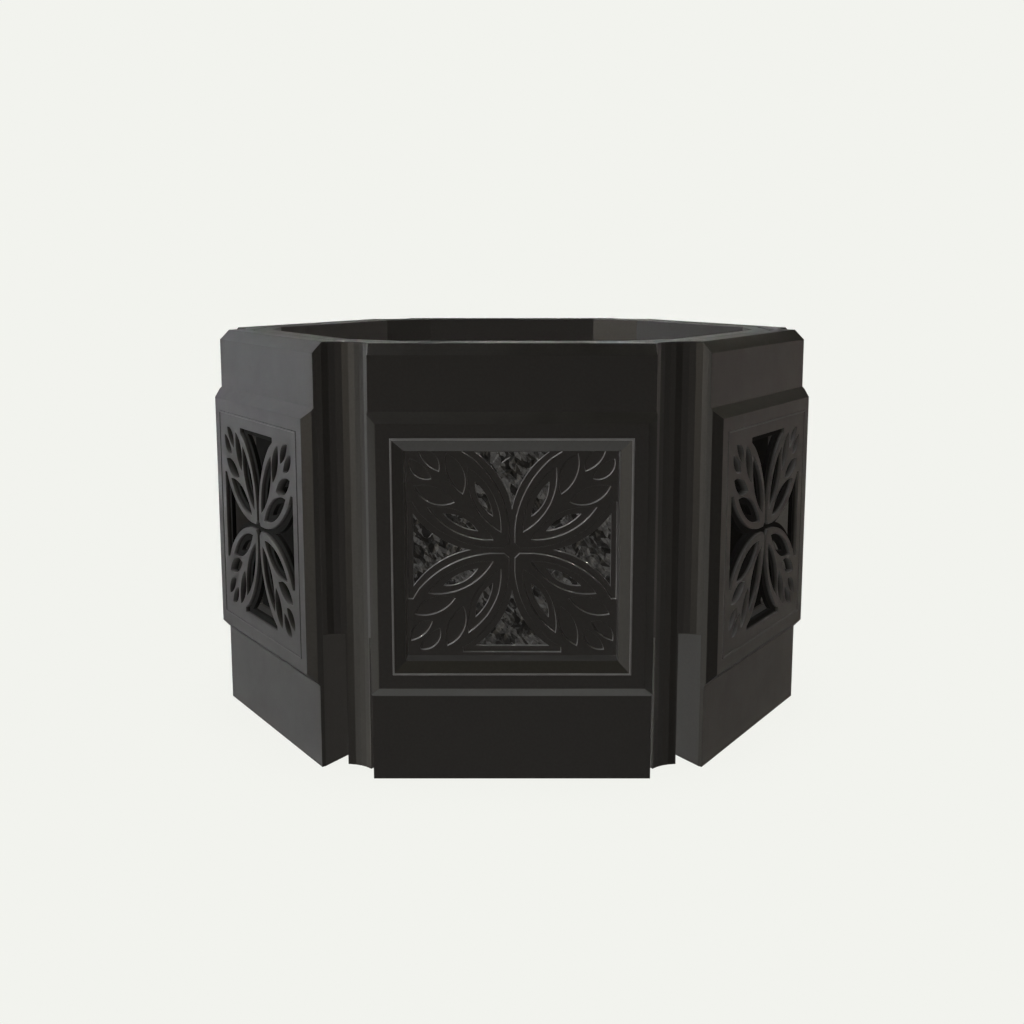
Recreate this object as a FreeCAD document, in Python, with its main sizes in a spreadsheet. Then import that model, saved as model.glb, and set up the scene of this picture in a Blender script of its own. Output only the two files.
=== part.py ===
"""Hexagonal floor planter: six cast panels between six fluted corner posts, with pierced leaf windows
and a twelve-sided lift-out liner. Millimetres, +Z up, origin on the floor under the middle.
Panels, posts and window pieces are drawn at the front, facing -Y, and then turned about Z."""
import FreeCAD, Part
import Sketcher
import math
import os
import re
from FreeCAD import Placement, Rotation, Vector

doc = FreeCAD.newDocument("planter")

# Driving sizes

SIZES = [
    # overall form
    ("overall_height", 400),
    ("face_apothem", 281),
    ("block_projection", 10),
    ("rim_chamfer", 10),
    ("post_width", 57),
    # window and the raised block round it, between the posts
    ("window_end_margin", 21.33),
    ("window_surround", 22.5),
    # cast walls of a panel
    ("panel_skin", 8),
    ("end_flange", 8),
    ("foot_flange", 10),
    ("top_rail", 12),
    # corner post: cove cut in flats, hollow core, foot notches beside a tongue
    ("cove_radius", 31.4),
    ("cove_inset", 8),
    ("cove_flats", 32),
    ("notch_height", 128),
    ("tongue_width", 27),
    ("post_wall", 8),
    ("core_front_wall", 7),
    ("core_floor", 12),
    # frame of the window
    ("window_clearance", 0.5),
    ("bead_width", 1.4),
    ("bead_height", 0.8),
    ("reveal_bevel", 10.1),
    ("reveal_chamfer", 6),
    ("reveal_depth", 25),
    ("frame_flange_lap", 2),
    ("frame_flange_rise", 16.5),
    # leaf grille, leaf plate and backing plate
    ("grille_thickness", 8),
    ("grille_margin", 6.5),
    ("grille_leaf_rise", 2),
    ("hollow_depth", 4),
    ("plate_clearance", 0.2),
    ("boss_diameter", 12),
    ("backing_gap", 4),
    ("backing_thickness", 2),
    # liner and base
    ("wall_depth", 48),
    ("liner_corner_cut", 17),
    ("liner_sheet", 3),
    ("liner_clearance", 3),
    ("liner_flange_reach", 19),
    ("liner_corner_reach", 17),
    ("flange_clearance", 1),
    ("shelf_thickness", 8),
    ("shelf_reach", 20),
    ("base_thickness", 6),
    ("drain_diameter", 16),
    ("base_drain_diameter", 30),
    # fasteners
    ("bolt_clearance", 0.5),
    ("thread_clearance", 0.1),
    ("corner_screw_diameter", 8),
    ("corner_screw_margin", 22.5),
    ("washer_thickness", 1.6),
    ("frame_screw_diameter", 5),
    ("frame_screw_thread", 12),
    ("frame_screw_inset", 28),
    ("backing_screw_diameter", 3),
    ("backing_screw_inset", 3.5),
    ("backing_screw_thread", 5),
    ("boss_screw_thread", 10),
    ("spacer_diameter", 7),
    ("base_screw_diameter", 6),
    ("base_screw_margin", 24),
    ("base_screw_sink", 3),
    ("base_nut_height", 5),
    # how far cutting tools run past the solid
    ("overrun", 1),
]

# Shares of the height below the block, of the shelf's place in it, and of the bosses' in a leaf

PLINTH_SHARE = 0.572
SHELF_SHARE = 0.6037
BOSS_SHARE = 0.833
DRAIN_RING_SHARE = 0.515

# Half the turn from one side to the next, in degrees

HALF_TURN = 30

# Sizes that follow from the driving ones. An apothem or radius is a distance from the pot's axis.

DERIVED = [
    ("post_slant", f"post_width / 2 / cos({HALF_TURN})"),
    ("window_size", f"2 * (face_apothem * tan({HALF_TURN}) - post_slant - window_end_margin)"),
    ("block_half_width", "window_size / 2 + window_surround"),
    ("block_bottom", f"(overall_height - 2 * block_half_width) * {PLINTH_SHARE}"),
    ("block_top", "block_bottom + 2 * block_half_width"),
    ("window_centre", "block_bottom + block_half_width"),
    ("liner_apothem", "face_apothem - wall_depth"),
    ("liner_corner", f"liner_apothem / cos({HALF_TURN}) - liner_corner_cut"),
    ("shelf_top", f"block_bottom * {SHELF_SHARE}"),
    ("block_face", "face_apothem + block_projection"),
    ("skin_back", "face_apothem - panel_skin"),
    ("frame_back", "block_face - reveal_depth"),
    ("grille_back", "frame_back - grille_thickness"),
    ("plate_back", "block_face - grille_thickness"),
    ("chamfer_back", "block_face - reveal_chamfer"),
    ("backing_front", "grille_back - backing_gap"),
    ("backing_back", "backing_front - backing_thickness"),
    ("panel_inner", "liner_apothem + liner_sheet + liner_clearance"),
    ("post_back", "liner_corner + liner_sheet + liner_clearance"),
    ("cove_centre", f"face_apothem / cos({HALF_TURN}) - cove_inset"),
    ("core_front", "cove_centre - cove_radius - core_front_wall"),
    ("screw_radius", "(post_back + core_front) / 2"),
    ("rim_ledge", "overall_height - liner_sheet"),
    ("rail_underside", "rim_ledge - top_rail"),
    ("core_bottom", "notch_height + core_floor"),
    ("corner_screw_height", "core_bottom + corner_screw_margin"),
    ("corner_screw_pitch", "(rail_underside - corner_screw_margin - corner_screw_height) / 2"),
    ("panel_rebate", "liner_apothem + liner_flange_reach + flange_clearance"),
    ("post_rebate", "liner_corner + liner_corner_reach + flange_clearance"),
    ("liner_bottom", "shelf_top + base_thickness"),
    ("shelf_inner", "liner_apothem + liner_sheet - shelf_reach"),
    ("base_screw_apothem", "liner_apothem + liner_sheet - shelf_reach / 2"),
    ("shelf_slant", f"(post_width / 2 + end_flange) / cos({HALF_TURN})"),
    ("base_screw_spacing", f"2 * (shelf_inner * tan({HALF_TURN}) - shelf_slant - base_screw_margin)"),
    ("drain_ring_radius", f"liner_apothem * {DRAIN_RING_SHARE}"),
    ("mouth_half", "window_size / 2 - window_clearance - bead_width"),
    ("throat_half", "mouth_half - reveal_bevel"),
    ("grille_half", "throat_half + grille_margin"),
    ("backing_screw_spacing", "2 * (grille_half - backing_screw_inset)"),
    ("boss_spacing", f"throat_half * {BOSS_SHARE}"),
    ("frame_screw_spacing", "window_size / 2 - frame_screw_inset"),
    ("frame_screw_rise", "(window_size + frame_flange_rise) / 2"),
]

# Counts and angles of the hexagon

SIDES = 6
TURN = 60
SCREW_LEVELS = 3
FRAME_SCREWS = (-1, 0, 1)
BOTH = (-1, 1)
SIDE_NAMES = ("front", "front_right", "back_right", "back", "back_left", "front_left")
CORNER_NAMES = ("front_right", "right", "back_right", "back_left", "left", "front_left")
RECESSED = ("front", "back")

# Fastener forms, as shares of the thread diameter

HEX_SHARE = 1.85
HEAD_HEIGHT_SHARE = 0.65
PAN_SHARE = 1.9
WASHER_SHARE = 2

# Leaf ornament, as shares of half the throat, centre at zero. A pair of lenses in the upper right
# quarter runs from a start to an end, bulging away from and towards the leaf's diagonal. The gap and
# its sunken band lie above the centre. The band narrows to a channel that joins its neighbours.

SLIT_SHARES = ((0.182, 0.323), (0.349, 0.656), 0.036, 0.052)
SURROUND_SHARES = ((0.104, 0.177), (0.417, 0.802), 0.094, 0.109)
MIDDLE_LOBE_SHARES = ((0.464, 0.542), (0.62, 0.93), 0.09, 0.068)
CORNER_LOBE_SHARES = ((0.6875, 0.76), (0.88, 0.965), 0.08, 0.04)
GAP_APEX_SHARE = 0.39
GAP_CORNER_SHARES = (0.354, 0.94)
GAP_BULGE_SHARE = 0.065
CHANNEL_SHARE = 0.028
CHANNEL_TOP_SHARE = 0.208
BAND_TURN_SHARES = (0.375, 0.885)
BAND_CORNER_SHARES = (0.469, 0.943)
BAND_TOP_SHARE = 0.993
BAND_BULGE_SHARE = 0.076
LEAVES = 4

sheet = doc.addObject("Spreadsheet::Sheet", "Sizes")
for row, (alias, number) in enumerate(SIZES, start=1):
    sheet.set(f"A{row}", alias)
    sheet.set(f"B{row}", str(number))
    sheet.setAlias(f"B{row}", alias)
for row, (alias, formula) in enumerate(DERIVED, start=len(SIZES) + 1):
    sheet.set(f"A{row}", alias)
    sheet.set(f"B{row}", f"={formula}")
    sheet.setAlias(f"B{row}", alias)
doc.recompute()
NAMES = {alias for alias, _ in SIZES + DERIVED}


def linked(formula):
    """The formula with each name pointed at its cell of the sheet."""
    return re.sub(r"[a-z_]\w*", lambda word: f"Sizes.{word[0]}" if word[0] in NAMES else word[0], formula)


def size(formula):
    """The value of a formula in the sheet's names."""
    return float(sheet.evalExpression(linked(formula)))


def bind(thing, **formulas):
    """Drives properties of an object by formulas."""
    for name, formula in formulas.items():
        thing.setExpression(name, linked(formula))
    return thing


# Solid primitives and booleans


def box(name, x, y, z):
    """A box between low and high formulas on each axis."""
    thing = doc.addObject("Part::Box", name)
    for axis, length, (low, high) in zip("xyz", ("Length", "Width", "Height"), (x, y, z)):
        thing.setExpression(length, linked(f"({high}) - ({low})"))
        thing.setExpression(f"Placement.Base.{axis}", linked(low))
    return thing


def centred_box(name, half_x, y, half_z):
    """A box about the window's centre."""
    return box(
        name,
        (f"-({half_x})", half_x),
        y,
        (f"window_centre - ({half_z})", f"window_centre + ({half_z})"),
    )


def wedge(name, front, back, half_front, half_back, z_front, z_back):
    """A symmetric block that tapers from its front at y = -front to its back at y = -back."""
    return bind(
        doc.addObject("Part::Wedge", name),
        Ymin=f"-({front})",
        Ymax=f"-({back})",
        Xmin=f"-({half_front})",
        Xmax=half_front,
        X2min=f"-({half_back})",
        X2max=half_back,
        Zmin=z_front[0],
        Zmax=z_front[1],
        Z2min=z_back[0],
        Z2max=z_back[1],
    )


def cylinder(name, diameter, length, base, direction):
    """A cylinder from a base point, given as three formulas, along a direction."""
    thing = doc.addObject("Part::Cylinder", name)
    thing.Placement = Placement(Vector(), Rotation(Vector(0, 0, 1), direction))
    bind(thing, Radius=f"({diameter}) / 2", Height=length)
    for axis, formula in zip("xyz", base):
        thing.setExpression(f"Placement.Base.{axis}", linked(formula))
    return thing


def prism(name, sides, circumradius, low, high, angle=0):
    """An upright regular prism on the pot's axis."""
    thing = doc.addObject("Part::Prism", name)
    thing.Placement = Placement(Vector(), Rotation(Vector(0, 0, 1), angle))
    thing.setExpression("Placement.Base.z", linked(low))
    return bind(thing, Polygon=sides, Circumradius=circumradius, Height=f"({high}) - ({low})")


def twelve_sided(name, wall, corner, low, high):
    """A twelve-sided prism: walls behind the panels and narrower flats behind the posts."""
    walls = prism(f"{name}_walls", str(SIDES), f"({wall}) / cos({HALF_TURN})", low, high)
    flats = prism(f"{name}_flats", str(SIDES), f"({corner}) / cos({HALF_TURN})", low, high, HALF_TURN)
    return combine("Part::MultiCommon", name, [walls, flats])


def combine(kind, name, things):
    thing = doc.addObject(kind, name)
    thing.Shapes = things
    return thing


def fuse(name, *things):
    return combine("Part::MultiFuse", name, list(things))


def cut(name, base, *tools):
    thing = doc.addObject("Part::Cut", name)
    thing.Base = base
    thing.Tool = tools[0] if len(tools) == 1 else fuse(f"{name}_tools", *tools)
    return thing


def turned(name, pattern, angle):
    """A linked copy of a pattern, turned about the pot's axis."""
    copy = doc.addObject("Part::Compound", name)
    copy.Links = [pattern]
    copy.Placement = Placement(Vector(), Rotation(Vector(0, 0, 1), angle))
    return copy


# Sketches and features of a body


def plane(body, role):
    return next(feature for feature in body.Origin.OriginFeatures if feature.Role == role)


def sketch_on(body, role, name, offset="0", rise="0"):
    """A sketch on one of the body's own planes, moved along its normal and up its own y."""
    sketch = body.newObject("Sketcher::SketchObject", name)
    sketch.AttachmentSupport = [(plane(body, role), "")]
    sketch.MapMode = "FlatFace"
    sketch.setExpression("AttachmentOffset.Base.z", linked(offset))
    sketch.setExpression("AttachmentOffset.Base.y", linked(rise))
    return sketch


def datum(sketch, constraint, formula):
    """Adds a constraint whose value follows a formula."""
    index = sketch.addConstraint(constraint)
    sketch.setExpression(f"Constraints[{index}]", linked(formula))


def fix_point(sketch, edge, end, x, y):
    """Holds a point of an edge at two formulas, or on an axis where one is zero."""
    for kind, axis, formula in (("DistanceX", -2, x), ("DistanceY", -1, y)):
        value = size(formula)
        if value == 0:
            sketch.addConstraint(Sketcher.Constraint("PointOnObject", edge, end, axis))
        else:
            datum(sketch, Sketcher.Constraint(kind, -1, 1, edge, end, value), formula)


def rectangle(sketch, left, right, low, high):
    places = ((left, low), (right, low), (right, high), (left, high))
    corners = [Vector(size(x), size(y), 0) for x, y in places]
    edges = [
        sketch.addGeometry(Part.LineSegment(start, end))
        for start, end in zip(corners, corners[1:] + corners[:1])
    ]
    for edge, following in zip(edges, edges[1:] + edges[:1]):
        sketch.addConstraint(Sketcher.Constraint("Coincident", edge, 2, following, 1))
    for edge, way in zip(edges, ("Horizontal", "Vertical", "Horizontal", "Vertical")):
        sketch.addConstraint(Sketcher.Constraint(way, edge))
    fix_point(sketch, edges[0], 1, left, low)
    fix_point(sketch, edges[2], 1, right, high)


def circle(sketch, x, y, diameter):
    edge = sketch.addGeometry(
        Part.Circle(Vector(size(x), size(y), 0), Vector(0, 0, 1), size(diameter) / 2)
    )
    datum(sketch, Sketcher.Constraint("Diameter", edge, size(diameter)), diameter)
    fix_point(sketch, edge, 3, x, y)


def pad(body, name, sketch, length, backwards=False):
    feature = body.newObject("PartDesign::Pad", name)
    feature.Profile = sketch
    feature.Reversed = backwards
    return bind(feature, Length=length)


def pocket(body, name, sketch, length, backwards=False, both_ways=False):
    feature = body.newObject("PartDesign::Pocket", name)
    feature.Profile = sketch
    feature.Reversed = backwards
    feature.Midplane = both_ways
    return bind(feature, Length=length)


def polar(body, name, features, sketch, count):
    """Repeats features about a sketch's normal through its origin."""
    pattern = body.newObject("PartDesign::PolarPattern", name)
    pattern.Originals = features
    pattern.Axis = (sketch, ["N_Axis"])
    pattern.Occurrences = count
    body.Tip = pattern


# Leaf ornament


def arc(sketch, start, end, bulge):
    """An arc between two points in shares, anticlockwise, bulging to the right of its chord."""
    half = size("throat_half")
    along = (end[0] - start[0], end[1] - start[1])
    chord = math.hypot(*along)
    middle = (
        (start[0] + end[0]) / 2 + along[1] / chord * bulge,
        (start[1] + end[1]) / 2 - along[0] / chord * bulge,
    )
    points = [Vector(x * half, y * half, 0) for x, y in (start, middle, end)]
    edge = sketch.addGeometry(Part.Arc(*points))
    radius_share = (chord**2 / 4 + bulge**2) / (2 * bulge)
    datum(sketch, Sketcher.Constraint("Radius", edge, radius_share * half), f"{radius_share} * throat_half")
    return edge


def line(sketch, start, end):
    half = size("throat_half")
    ends = [Vector(x * half, y * half, 0) for x, y in (start, end)]
    return sketch.addGeometry(Part.LineSegment(*ends))


def outline(sketch, points, bulges):
    """A closed outline through points in shares. An edge with a bulge is an arc bowed to its right."""
    edges = [
        arc(sketch, start, end, bulge) if bulge else line(sketch, start, end)
        for start, end, bulge in zip(points, points[1:] + points[:1], bulges)
    ]
    for edge, following in zip(edges, edges[1:] + edges[:1]):
        sketch.addConstraint(Sketcher.Constraint("Coincident", edge, 2, following, 1))
    for edge, (x, y) in zip(edges, points):
        fix_point(sketch, edge, 1, f"{x} * throat_half", f"{y} * throat_half")


def lens_pair(sketch, start, end, away, towards):
    """A lens and its mirror image across the leaf's diagonal."""
    outline(sketch, [start, end], [towards, away])
    outline(sketch, [start[::-1], end[::-1]], [away, towards])


def mirrored(points):
    """Points, then their mirror images across the vertical in reverse order."""
    return points + [(-x, y) for x, y in reversed(points)]


def gap(sketch):
    """The curved triangle between two leaves, with its base along the rail."""
    right, left = mirrored([GAP_CORNER_SHARES])
    outline(sketch, [right, (0, GAP_APEX_SHARE), left], [GAP_BULGE_SHARE, GAP_BULGE_SHARE, 0])


def band(sketch):
    """The sunken band round a gap, and its channel to the centre."""
    half_path = [
        (BAND_CORNER_SHARES[0], BAND_TOP_SHARE),
        BAND_CORNER_SHARES,
        BAND_TURN_SHARES,
        (CHANNEL_SHARE, CHANNEL_TOP_SHARE),
        (CHANNEL_SHARE, 0),
    ]
    outline(sketch, mirrored(half_path), [0, 0, BAND_BULGE_SHARE, 0, 0, 0, BAND_BULGE_SHARE, 0, 0, 0])


def carve_leaves(body, front, centre, pierced_lobes):
    """Cuts the gaps and slits through and the hollows into the face, for each of the four leaves."""
    through = sketch_on(body, "XZ_Plane", "through_outlines", front, centre)
    gap(through)
    lens_pair(through, *SLIT_SHARES)
    carved = sketch_on(body, "XZ_Plane", "carved_outlines", front, centre)
    lens_pair(carved, *SURROUND_SHARES)
    lobes = through if pierced_lobes else carved
    lens_pair(lobes, *MIDDLE_LOBE_SHARES)
    lens_pair(lobes, *CORNER_LOBE_SHARES)
    banded = sketch_on(body, "XZ_Plane", "band_outline", front, centre)
    band(banded)
    hollows = pocket(body, "hollows", carved, "hollow_depth")
    polar(body, "hollows_round", [hollows], carved, LEAVES)
    bands = pocket(body, "bands", banded, "hollow_depth")
    polar(body, "bands_round", [bands], banded, LEAVES)
    openings = pocket(body, "openings", through, "grille_thickness")
    polar(body, "openings_round", [openings], through, LEAVES)


def four_circles(sketch, spacing, diameter):
    for x in BOTH:
        for y in BOTH:
            circle(sketch, f"{x} * {spacing} / 2", f"{y} * {spacing} / 2", diameter)


# Corner post, drawn with its cove facing -Y


def cove_tool(name):
    """The flats of a cove, as an upright prism at the corner of the hexagon."""
    tool = prism(name, "cove_flats", "cove_radius", "-overrun", "overall_height + overrun")
    tool.setExpression("Placement.Base.y", linked("-cove_centre"))
    return tool


def rim_chamfer(name, half_width):
    """Cuts the rim's front edge at 45 degrees, over a half width either side of the front's middle."""
    return wedge(
        name,
        "face_apothem + overrun",
        "face_apothem - rim_chamfer - overrun",
        half_width,
        half_width,
        ("overall_height - rim_chamfer - overrun", "overall_height + overrun"),
        ("overall_height + overrun", "overall_height + overrun"),
    )


def corner_post():
    body = doc.addObject("PartDesign::Body", "post_body")
    plan = sketch_on(body, "XY_Plane", "post_plan")
    rectangle(plan, "-post_width / 2", "post_width / 2", "-cove_centre", "-post_back")
    pad(body, "post_block", plan, "overall_height")
    core = sketch_on(body, "XY_Plane", "core_plan", "core_bottom")
    inside = "(post_width / 2 - post_wall)"
    rectangle(core, f"-{inside}", inside, "-core_front", "-post_back + overrun")
    pocket(body, "core", core, "rail_underside - core_bottom", backwards=True)
    rebate = sketch_on(body, "XY_Plane", "rebate_plan", "overall_height")
    beside = "(post_width / 2 + overrun)"
    rectangle(rebate, f"-{beside}", beside, "-post_rebate", "-post_back + overrun")
    pocket(body, "liner_rebate", rebate, "liner_sheet")
    notch = sketch_on(body, "XY_Plane", "notch_plan")
    rectangle(notch, "tongue_width / 2", beside, "-cove_centre - overrun", "-post_back + overrun")
    notch_cut = pocket(body, "foot_notch", notch, "notch_height", backwards=True)
    notches = body.newObject("PartDesign::Mirrored", "foot_notches")
    notches.Originals = [notch_cut]
    notches.MirrorPlane = (plane(body, "YZ_Plane"), [""])
    body.Tip = notches
    drilling = sketch_on(body, "YZ_Plane", "screw_hole_plan")
    circle(drilling, "-screw_radius", "corner_screw_height", "corner_screw_diameter + 2 * bolt_clearance")
    holes = pocket(body, "screw_hole", drilling, "post_width + 2 * overrun", both_ways=True)
    rows = body.newObject("PartDesign::LinearPattern", "screw_holes")
    rows.Originals = [holes]
    rows.Direction = (plane(body, "Z_Axis"), [""])
    rows.Occurrences = SCREW_LEVELS
    bind(rows, Length=f"corner_screw_pitch * {SCREW_LEVELS - 1}")
    body.Tip = rows
    chamfer = rim_chamfer("post_rim_chamfer", "face_apothem")
    left = turned("post_chamfer_left", chamfer, -HALF_TURN)
    right = turned("post_chamfer_right", chamfer, HALF_TURN)
    return cut("post_pattern", body, cove_tool("post_cove"), left, right)


# Side panel, drawn at the front


def panel_half(apothem, wall="0"):
    """Half the panel's width at an apothem, between the posts, less the thickness of its end flanges."""
    return f"(({apothem}) * tan({HALF_TURN}) - (post_width / 2 + {wall}) / cos({HALF_TURN}))"


def turned_cove(name, side):
    """A cove cutter at the left or right end of the front panel."""
    tool = cove_tool(name)
    tool.Placement = Placement(Vector(), Rotation(Vector(0, 0, 1), side * HALF_TURN))
    tool.setExpression("Placement.Base.x", linked(f"{side} * cove_centre * sin({HALF_TURN})"))
    tool.setExpression("Placement.Base.y", linked(f"-cove_centre * cos({HALF_TURN})"))
    tool.setExpression("Placement.Base.z", linked("-overrun"))
    return tool


def corner_screw_hole(side, level):
    """A tapped hole through an end flange, square to the flange."""
    angle = math.radians(HALF_TURN)
    return cylinder(
        f"flange_hole_{'left' if side < 0 else 'right'}_{level}",
        "corner_screw_diameter + 2 * thread_clearance",
        "post_width / 2 + end_flange + overrun",
        (
            f"{side} * screw_radius * sin({HALF_TURN})",
            f"-screw_radius * cos({HALF_TURN})",
            f"corner_screw_height + {level} * corner_screw_pitch",
        ),
        Vector(-side * math.cos(angle), -math.sin(angle), 0),
    )


def side_panel():
    slab = wedge(
        "panel_slab",
        "face_apothem",
        "panel_inner",
        panel_half("face_apothem"),
        panel_half("panel_inner"),
        ("0", "overall_height"),
        ("0", "overall_height"),
    )
    raised = wedge(
        "raised_block",
        "block_face",
        "face_apothem",
        "block_half_width - block_projection",
        "block_half_width",
        ("block_bottom + block_projection", "block_top - block_projection"),
        ("block_bottom", "block_top"),
    )
    between_posts = wedge(
        "between_posts",
        "block_face",
        "face_apothem",
        panel_half("block_face"),
        panel_half("face_apothem"),
        ("0", "overall_height"),
        ("0", "overall_height"),
    )
    block = combine("Part::MultiCommon", "panel_block", [raised, between_posts])
    inner_half = panel_half("panel_inner - overrun", "end_flange")
    hollow = wedge(
        "panel_hollow",
        "skin_back",
        "panel_inner - overrun",
        panel_half("skin_back", "end_flange"),
        inner_half,
        ("foot_flange", "rail_underside"),
        ("foot_flange", "rail_underside"),
    )
    window = centred_box(
        "window_opening",
        "window_size / 2",
        ("-block_face - overrun", "-skin_back + overrun"),
        "window_size / 2",
    )
    chamfer = rim_chamfer("panel_rim_chamfer", "block_half_width + overrun")
    rebate = box(
        "panel_rebate_cut",
        ("-block_half_width", "block_half_width"),
        ("-panel_rebate", "-panel_inner + overrun"),
        ("rim_ledge", "overall_height + overrun"),
    )
    coves = [turned_cove("panel_cove_left", -1), turned_cove("panel_cove_right", 1)]
    shell = cut("panel_shell", fuse("panel_solid", slab, block), hollow, window, chamfer, rebate, *coves)
    shelf = wedge(
        "panel_shelf",
        "skin_back",
        "shelf_inner",
        panel_half("skin_back", "end_flange"),
        panel_half("shelf_inner", "end_flange"),
        ("shelf_top - shelf_thickness", "shelf_top"),
        ("shelf_top - shelf_thickness", "shelf_top"),
    )
    holes = [corner_screw_hole(side, level) for side in BOTH for level in range(SCREW_LEVELS)]
    for row in BOTH:
        for column in FRAME_SCREWS:
            holes.append(
                cylinder(
                    f"panel_frame_hole_{len(holes)}",
                    "frame_screw_diameter + 2 * thread_clearance",
                    "frame_screw_thread + overrun",
                    (
                        f"{column} * frame_screw_spacing",
                        "-skin_back + overrun",
                        f"window_centre + {row} * frame_screw_rise",
                    ),
                    Vector(0, -1, 0),
                )
            )
    for side in BOTH:
        holes.append(
            cylinder(
                f"shelf_hole_{len(holes)}",
                "base_screw_diameter + 2 * bolt_clearance",
                "shelf_thickness + 2 * overrun",
                (
                    f"{side} * base_screw_spacing / 2",
                    "-base_screw_apothem",
                    "shelf_top - shelf_thickness - overrun",
                ),
                Vector(0, 0, 1),
            )
        )
    return cut("panel_pattern", fuse("panel_with_shelf", shell, shelf), *holes)


# Window pieces, drawn at the front


def screw_holes(name, diameter, spacing, front, depth):
    """Four holes at the corners of a square, bored outwards from an apothem."""
    return [
        cylinder(
            f"{name}_{x}_{z}",
            diameter,
            depth,
            (f"{x} * {spacing} / 2", f"-({front})", f"window_centre + {z} * {spacing} / 2"),
            Vector(0, -1, 0),
        )
        for x in BOTH
        for z in BOTH
    ]


def window_frame():
    outer = "window_size / 2 - window_clearance"
    sleeve = centred_box("frame_sleeve", outer, ("-block_face - bead_height", "-frame_back"), outer)
    flange = centred_box(
        "frame_flange",
        "window_size / 2 + frame_flange_lap",
        ("-skin_back", "-frame_back"),
        "window_size / 2 + frame_flange_rise",
    )
    mouth = centred_box(
        "frame_mouth",
        "mouth_half",
        ("-block_face - bead_height - overrun", "-block_face"),
        "mouth_half",
    )
    reveal = wedge(
        "frame_reveal",
        "block_face",
        "chamfer_back",
        "mouth_half",
        "throat_half",
        ("window_centre - mouth_half", "window_centre + mouth_half"),
        ("window_centre - throat_half", "window_centre + throat_half"),
    )
    throat = centred_box(
        "frame_throat",
        "throat_half",
        ("-chamfer_back - overrun", "-frame_back + overrun"),
        "throat_half",
    )
    holes = screw_holes(
        "frame_backing_hole",
        "backing_screw_diameter + 2 * thread_clearance",
        "backing_screw_spacing",
        "frame_back - overrun",
        "backing_screw_thread + overrun",
    )
    for row in BOTH:
        for column in FRAME_SCREWS:
            holes.append(
                cylinder(
                    f"frame_hole_{len(holes)}",
                    "frame_screw_diameter + 2 * bolt_clearance",
                    "skin_back - frame_back + 2 * overrun",
                    (
                        f"{column} * frame_screw_spacing",
                        "-frame_back + overrun",
                        f"window_centre + {row} * frame_screw_rise",
                    ),
                    Vector(0, -1, 0),
                )
            )
    return cut("frame_pattern", fuse("frame_solid", sleeve, flange), mouth, reveal, throat, *holes)


def leaf_grille():
    """The recessed leaf, a carved square plate behind the reveal."""
    body = doc.addObject("PartDesign::Body", "grille_body")
    outline = sketch_on(body, "XZ_Plane", "grille_outline", "frame_back", "window_centre")
    rectangle(outline, "-grille_half", "grille_half", "-grille_half", "grille_half")
    pad(body, "grille_plate", outline, "grille_thickness", backwards=True)
    carve_leaves(body, "frame_back", "window_centre + grille_leaf_rise", pierced_lobes=False)
    drilling = sketch_on(body, "XZ_Plane", "grille_hole_plan", "frame_back", "window_centre")
    four_circles(drilling, "backing_screw_spacing", "backing_screw_diameter + 2 * bolt_clearance")
    pocket(body, "grille_holes", drilling, "grille_thickness")
    return body


def leaf_plate():
    """The flush leaf, a bevelled plate in the mouth of the reveal, with bosses back to the backing."""
    body = doc.addObject("PartDesign::Body", "plate_body")
    front_half = "(mouth_half - plate_clearance)"
    back_half = "(throat_half - plate_clearance)"
    bind(
        body.newObject("PartDesign::AdditiveWedge", "plate_solid"),
        Ymin="-block_face",
        Ymax="-chamfer_back",
        Xmin=f"-{front_half}",
        Xmax=front_half,
        X2min=f"-{back_half}",
        X2max=back_half,
        Zmin=f"window_centre - {front_half}",
        Zmax=f"window_centre + {front_half}",
        Z2min=f"window_centre - {back_half}",
        Z2max=f"window_centre + {back_half}",
    )
    inner = sketch_on(body, "XZ_Plane", "plate_inner_outline", "chamfer_back", "window_centre")
    rectangle(inner, f"-{back_half}", back_half, f"-{back_half}", back_half)
    pad(body, "plate_inner", inner, "grille_thickness - reveal_chamfer", backwards=True)
    carve_leaves(body, "block_face", "window_centre", pierced_lobes=True)
    feet = sketch_on(body, "XZ_Plane", "boss_plan", "plate_back", "window_centre")
    four_circles(feet, "boss_spacing", "boss_diameter")
    pad(body, "bosses", feet, "plate_back - backing_front", backwards=True)
    drilling = sketch_on(body, "XZ_Plane", "boss_hole_plan", "backing_front", "window_centre")
    four_circles(drilling, "boss_spacing", "backing_screw_diameter + 2 * thread_clearance")
    pocket(body, "boss_holes", drilling, "boss_screw_thread", backwards=True)
    return body


def backing_plate(name, with_boss_holes):
    body = doc.addObject("PartDesign::Body", name)
    outline = sketch_on(body, "XZ_Plane", f"{name}_outline", "backing_front", "window_centre")
    rectangle(outline, "-grille_half", "grille_half", "-grille_half", "grille_half")
    pad(body, f"{name}_plate", outline, "backing_thickness", backwards=True)
    drilling = sketch_on(body, "XZ_Plane", f"{name}_hole_plan", "backing_front", "window_centre")
    four_circles(drilling, "backing_screw_spacing", "backing_screw_diameter + 2 * bolt_clearance")
    if with_boss_holes:
        four_circles(drilling, "boss_spacing", "backing_screw_diameter + 2 * bolt_clearance")
    pocket(body, f"{name}_holes", drilling, "backing_thickness")
    return body


# Liner and base plate


def drain_holes(name, diameter, low, high):
    """One hole in the middle and one facing each corner post."""
    places = [(0, 0)]
    for number in range(SIDES):
        angle = math.radians(number * TURN)
        places.append((math.cos(angle), math.sin(angle)))
    return [
        cylinder(
            f"{name}_{number}",
            diameter,
            f"({high}) - ({low}) + 2 * overrun",
            (f"{x} * drain_ring_radius", f"{y} * drain_ring_radius", f"({low}) - overrun"),
            Vector(0, 0, 1),
        )
        for number, (x, y) in enumerate(places)
    ]


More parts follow.
